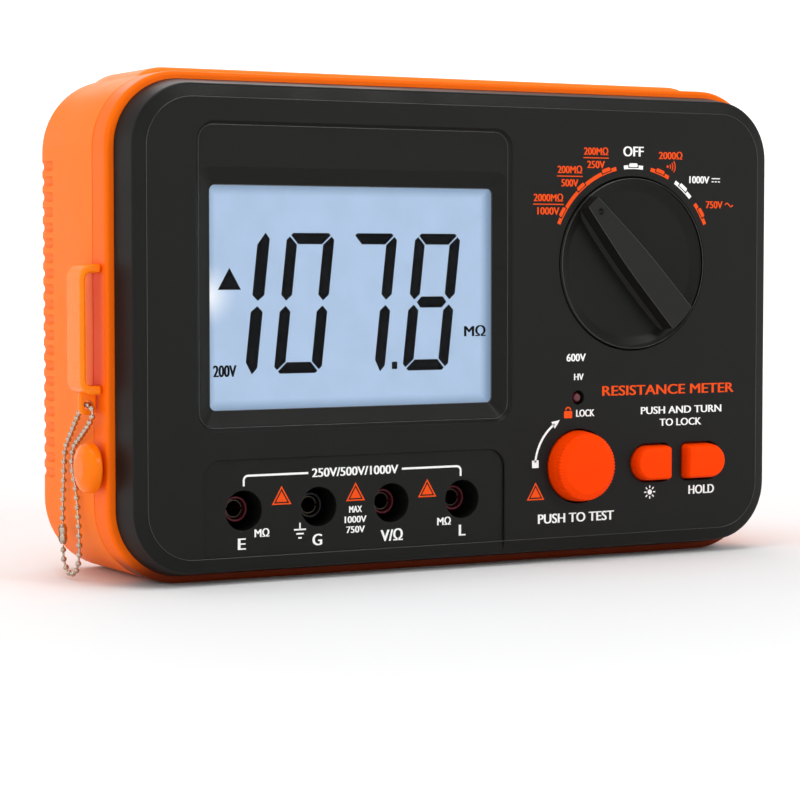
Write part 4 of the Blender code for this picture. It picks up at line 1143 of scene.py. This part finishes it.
def add_range_marks(white, orange):
    """Band for each range. It is notched at every stop for a raised lozenge."""
    bands = ((orange, -66.2, -12.3, (-58.9, -39.5, -19.4)), (white, -6.8, 6.9, (0.0,)),
             (orange, 12.5, 26.4, (19.5,)), (white, 31.7, 46.3, (38.4,)),
             (orange, 51.2, 65.6, (58.2,)))
    notch, half = 3.7, 3.1                            # degrees to each side of a stop
    for ink, start, end, stops in bands:
        for stop in stops:
            ink.strip(dial_arc(start, stop - notch, 27.05), 1.1)
            ink.strip(dial_arc(stop - notch, stop + notch, 26.65), 0.3)
            ink.plate(dial_arc(stop - half * 0.8, stop + half * 0.8, 28.1)
                      + [dial_place(stop + half, 27.5)]
                      + dial_arc(stop + half * 0.9, stop - half * 0.9, 27.05)
                      + [dial_place(stop - half, 27.5)])
            start = stop + notch
        ink.strip(dial_arc(start, end, 27.05), 1.1)


def spot(point, x=0.0, z=0.0):
    """Point offset from another by millimetres."""
    return point[0] + x * MM, point[1] + z * MM


def add_dial_words(white, orange):
    small, line, gap = 2.0, 0.3, 3.65
    for upper, lower, angle, radius, upper_width, lower_width in (
            ("200MΩ", "250V", -21.9, 33.6, 8.1, 5.9), ("200MΩ", "500V", -39.2, 33.5, 8.1, 5.6),
            ("2000MΩ", "1000V", -57.2, 33.5, 9.6, 7.2)):
        place = dial_place(angle, radius)
        orange.words(upper, place, small, upper_width)
        orange.words(lower, spot(place, z=-gap), small, lower_width)
        half = upper_width / 2 + 0.15
        orange.strip([spot(place, -half, -gap / 2), spot(place, half, -gap / 2)], 0.28)
    white.words("OFF", near(DIAL, 0, 31.4), 2.75, 6.9)
    place = dial_place(22.6, 33.0)
    orange.words("2000Ω", place, small, 8.1)
    for radius in (0.9, 1.7, 2.5):                    # buzzer symbol
        orange.strip(arc(*spot(place, -0.9, -3.1), radius * MM, -38, 38, 6), line)
    orange.plate(arc(*spot(place, -1.0, -3.1), 0.35 * MM, 0, 360, 12)[:-1])
    place = dial_place(43.6, 32.9)
    white.words("1000V", place, small, 7.0)
    white.strip([spot(place, 4.3, 0.4), spot(place, 7.2, 0.4)], line)
    for start in (4.3, 5.4, 6.5):
        white.strip([spot(place, start, -0.5), spot(place, start + 0.7, -0.5)], line)
    place = dial_place(59.0, 32.6)
    orange.words("750V", place, small, 5.9)
    orange.strip([spot(place, 3.8 + 0.28 * i, 0.5 * math.sin(math.tau * i / 10))
                  for i in range(11)], line)


def add_jack_words(white, orange):
    row = JACKS["volt"].z + 0.45 * MM
    earth, guard, volt, line = (Vector((JACKS[name].x, 0, row)) for name in JACK_NAMES)
    centre = (guard + volt) / 2
    for text, origin, x, z, height, width in (
            ("E", earth, -0.6, -9.1, 3.0, 2.3), ("G", guard, -0.5, -9.1, 3.0, 2.9),
            ("V/Ω", volt, 0.0, -9.1, 3.0, 6.8), ("L", line, 0.0, -8.9, 3.0, 2.1),
            ("MΩ", earth, 5.2, -6.5, 2.05, 4.3), ("MΩ", line, -5.7, -6.2, 2.05, 4.3),
            ("MAX", centre, 0.0, -1.6, 1.75, 3.9), ("1000V", centre, 0.0, -4.3, 1.75, 6.6),
            ("750V", centre, 0.0, -7.0, 1.75, 5.6),
            ("250V/500V/1000V", centre, 0.0, 8.6, 2.3, 26.0)):
        white.words(text, near(origin, x, z), height, width)

    white.strip([near(guard, -5.6, -6.2), near(guard, -5.6, -4.4)], 0.4)      # ground symbol
    for i, half in enumerate((1.75, 1.1, 0.5)):
        level = -6.2 - 1.1 * i
        white.strip([near(guard, -5.6 - half, level), near(guard, -5.6 + half, level)], 0.42)

    corner = 1.2
    for side, jack in ((-1, earth), (1, line)):
        x = -(side + 1) * 0.25
        turn = arc(*near(jack, x - side * corner, 8.6 - corner), corner * MM, 90, 90 - side * 90, 5)
        white.strip([near(centre, side * 14.1, 8.6), *turn, near(jack, x, 5.9)], 0.55)
    for first, second in ((earth, guard), (guard, volt), (volt, line)):
        orange.triangle(near((first + second) / 2, 0.0, 3.1), 5.8)


def add_control_words(white, orange):
    (_, light, *_), (_, hold, *_) = KEYS
    lamp = Vector((TEST.x, 0, LED.z))
    for ink, text, origin, x, z, height, width in (
            (white, "HV", lamp, -0.1, 5.8, 1.8, 3.2), (white, "600V", lamp, -1.0, 11.2, 2.1, 6.4),
            (white, "LOCK", TEST, 2.1, 14.75, 1.95, 6.1),
            (orange, "RESISTANCE METER", TEST, 30.4, 20.75, 2.75, 45.4),
            (white, "PUSH AND TURN", TEST, 34.8, 14.85, 2.05, 28.0),
            (white, "TO LOCK", TEST, 34.5, 11.35, 2.05, 14.5),
            (white, "PUSH TO TEST", TEST, -0.8, -14.25, 2.6, 25.2),
            (white, "HOLD", hold, -0.1, -8.2, 2.5, 9.0)):
        ink.words(text, near(origin, x, z), height, width)

    body, shackle = near(TEST, -3.6, 14.45), near(TEST, -3.6, 15.65)       # padlock
    orange.plate(rounded(2.7 * MM, 2.0 * MM, 0.3 * MM, body, 3))
    orange.strip(arc(*shackle, 0.8 * MM, 0, 180, 8), 0.4)
    orange.triangle(near(TEST, -14.2, -6.45), 5.8)

    sun = near(light, 0.0, -8.3)
    white.plate(arc(*sun, 0.75 * MM, 0, 360, 20)[:-1])
    for i in range(8):
        turn = math.tau * i / 8
        white.strip([spot(sun, r * math.cos(turn), r * math.sin(turn)) for r in (1.15, 1.9)], 0.36)

    sweep = arc(TEST.x, TEST.z, 14.4 * MM, 174, 124, 14)                   # arrow to LOCK
    white.strip(sweep, 0.62)
    white.plate(rounded(2.1 * MM, 2.1 * MM, 0.1 * MM, near(TEST, -14.3, 1.05), 2))
    head = Vector((1.7, 1.1))
    tip = Vector(sweep[-1]) + head * MM
    back = head.normalized() * 2.6 * MM
    side = Vector((-back.y, back.x)) * 1.1 / 2.6
    white.plate([tuple(tip), tuple(tip - back - side), tuple(tip - back + side)])


def make_legends():
    inks = [Ink(f"legends_{tone}", f"ink_{tone}", *INK_DEPTHS) for tone in ("white", "orange")]
    add_range_marks(*inks)
    add_dial_words(*inks)
    add_control_words(*inks)
    for ink in inks:
        ink.depths = [JACK_RECESS_DEPTH + depth for depth in INK_DEPTHS]
    add_jack_words(*inks)
    for ink in inks:
        ink.finish()


# ---- back ----
def cross_cut(place, depth, reach):
    """Two crossing bars that cut a screw's drive."""
    tools = []
    for half_x, half_z in ((reach, 0.35 * MM), (0.35 * MM, reach)):
        tools.append(block("drive", (place.x - half_x, place.x + half_x),
                           (depth - 1.1 * MM, depth + 2 * MM),
                           (place.z - half_z, place.z + half_z)))
    return tools


def make_screws():
    head = soften([(0, 1.3, 0), (1.6, 1.25, 0.8), (2.6, 0.6, 0.6), (2.95, 0.0, 0.15), (1.5, 0, 0),
                   (1.5, -37.0, 0), (0, -37.0, 0)], 5)
    head_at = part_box("case_screw_1")[1].y - FACE_Y - 1.3 * MM
    for name, place in CASE_SCREWS:
        screw = lathe(name + "_head", head, at(place.x, head_at, place.z), "back", 40)
        cut(screw, *cross_cut(place, head_at + 1.3 * MM, 1.6 * MM))
        finish(screw, "steel", replaced=(name,))
    flush = soften([(0, -0.3, 0), (2.3, -0.3, 0.1), (1.25, -1.45, 0), (1.25, -9.0, 0),
                    (0, -9.0, 0)], 3)
    screw = lathe("battery_cover_screw_head", flush,
                  at(DOOR_SCREW.x, CASE_DEPTH, DOOR_SCREW.z), "back", 32)
    cut(screw, *cross_cut(DOOR_SCREW, CASE_DEPTH - 0.3 * MM, 1.3 * MM))
    finish(screw, "steel", replaced=("battery_cover_screw",))


def make_door():
    """Battery door with a countersunk screw and finger ribs."""
    plate = block("battery_cover_plate", (DOOR_LOW.x, DOOR_HIGH.x),
                  (CASE_DEPTH - 1.4 * MM, CASE_DEPTH), (DOOR_LOW.z, DOOR_HIGH.z), 2.2 * MM)
    bevel(plate, 0.3 * MM, 3)
    sink = soften([(0, 1, 0), (3.4, 1, 0), (2.9, 0, 0.2), (1.7, -1.2, 0), (1.7, -4, 0), (0, -4, 0)])
    cut(plate, lathe("countersink", sink, at(DOOR_SCREW.x, CASE_DEPTH, DOOR_SCREW.z), "back", 40))
    ribs = [block("door_line", (DOOR_LOW.x + (5 + 1.8 * i) * MM, DOOR_LOW.x + (5.8 + 1.8 * i) * MM),
                  (CASE_DEPTH - 0.35 * MM, CASE_DEPTH + 1 * MM),
                  (DOOR_LOW.z + 14 * MM, DOOR_HIGH.z - 14 * MM), 0.38 * MM, 4) for i in range(5)]
    cut(plate, *ribs)
    finish(plate, "case_orange", replaced=("battery_cover",))


def make_stand():
    """Folding stand: a plate on a barrel, with a raised panel on its back."""
    depth_low, depth_high = STAND_LOW.y - FACE_Y, STAND_HIGH.y - FACE_Y
    plate = block("stand_plate", (STAND_LOW.x, STAND_HIGH.x), (depth_low, depth_high),
                  (STAND_LOW.z, PIN.z))
    radius = (depth_high - depth_low) / 2
    length = (STAND_HIGH.x - STAND_LOW.x) / MM
    rod = soften([(0, 0, 0), (radius / MM, 0, 0.3), (radius / MM, -length, 0.3), (0, -length, 0)])
    barrel = lathe("stand_barrel", rod, Vector((STAND_HIGH.x, PIN.y, PIN.z)), "right", 32)
    panel = block("stand_panel", (STAND_LOW.x + 6 * MM, STAND_HIGH.x - 6 * MM),
                  (depth_high - 0.5 * MM, depth_high + 1 * MM),
                  (STAND_LOW.z + 6 * MM, PIN.z - 6 * MM), 2 * MM)
    # This cut leaves the plate's faces pointing inwards, and the panel standing 1 mm proud.
    cut(bevel(plate, 0.4 * MM, 2), panel)
    finish(plate, "case_orange", "stand", ("tilt_stand",))
    finish(barrel, "case_orange", "stand", ("tilt_stand",))


# ---- parts inside the case keep their CAD shape ----
def finish_inner_parts():
    slots = {part["node"]: part["material_slot"] for part in frame["record"]["subparts"]}
    for name, node in frame["nodes"].items():
        if not node.hide_render:
            node.data.materials.clear()
            node.data.materials.append(FINISHES[slots[name]])


make_camera()
make_chain()
make_floor()
make_lights()
make_cover()
make_jack_panel()
make_frame()
make_shell()
make_loops()
make_studs()
make_dial()
make_test_button()
make_keys()
make_lamp()
make_jacks()
make_display()
make_reading()
make_legends()
make_screws()
make_door()
make_stand()
finish_inner_parts()
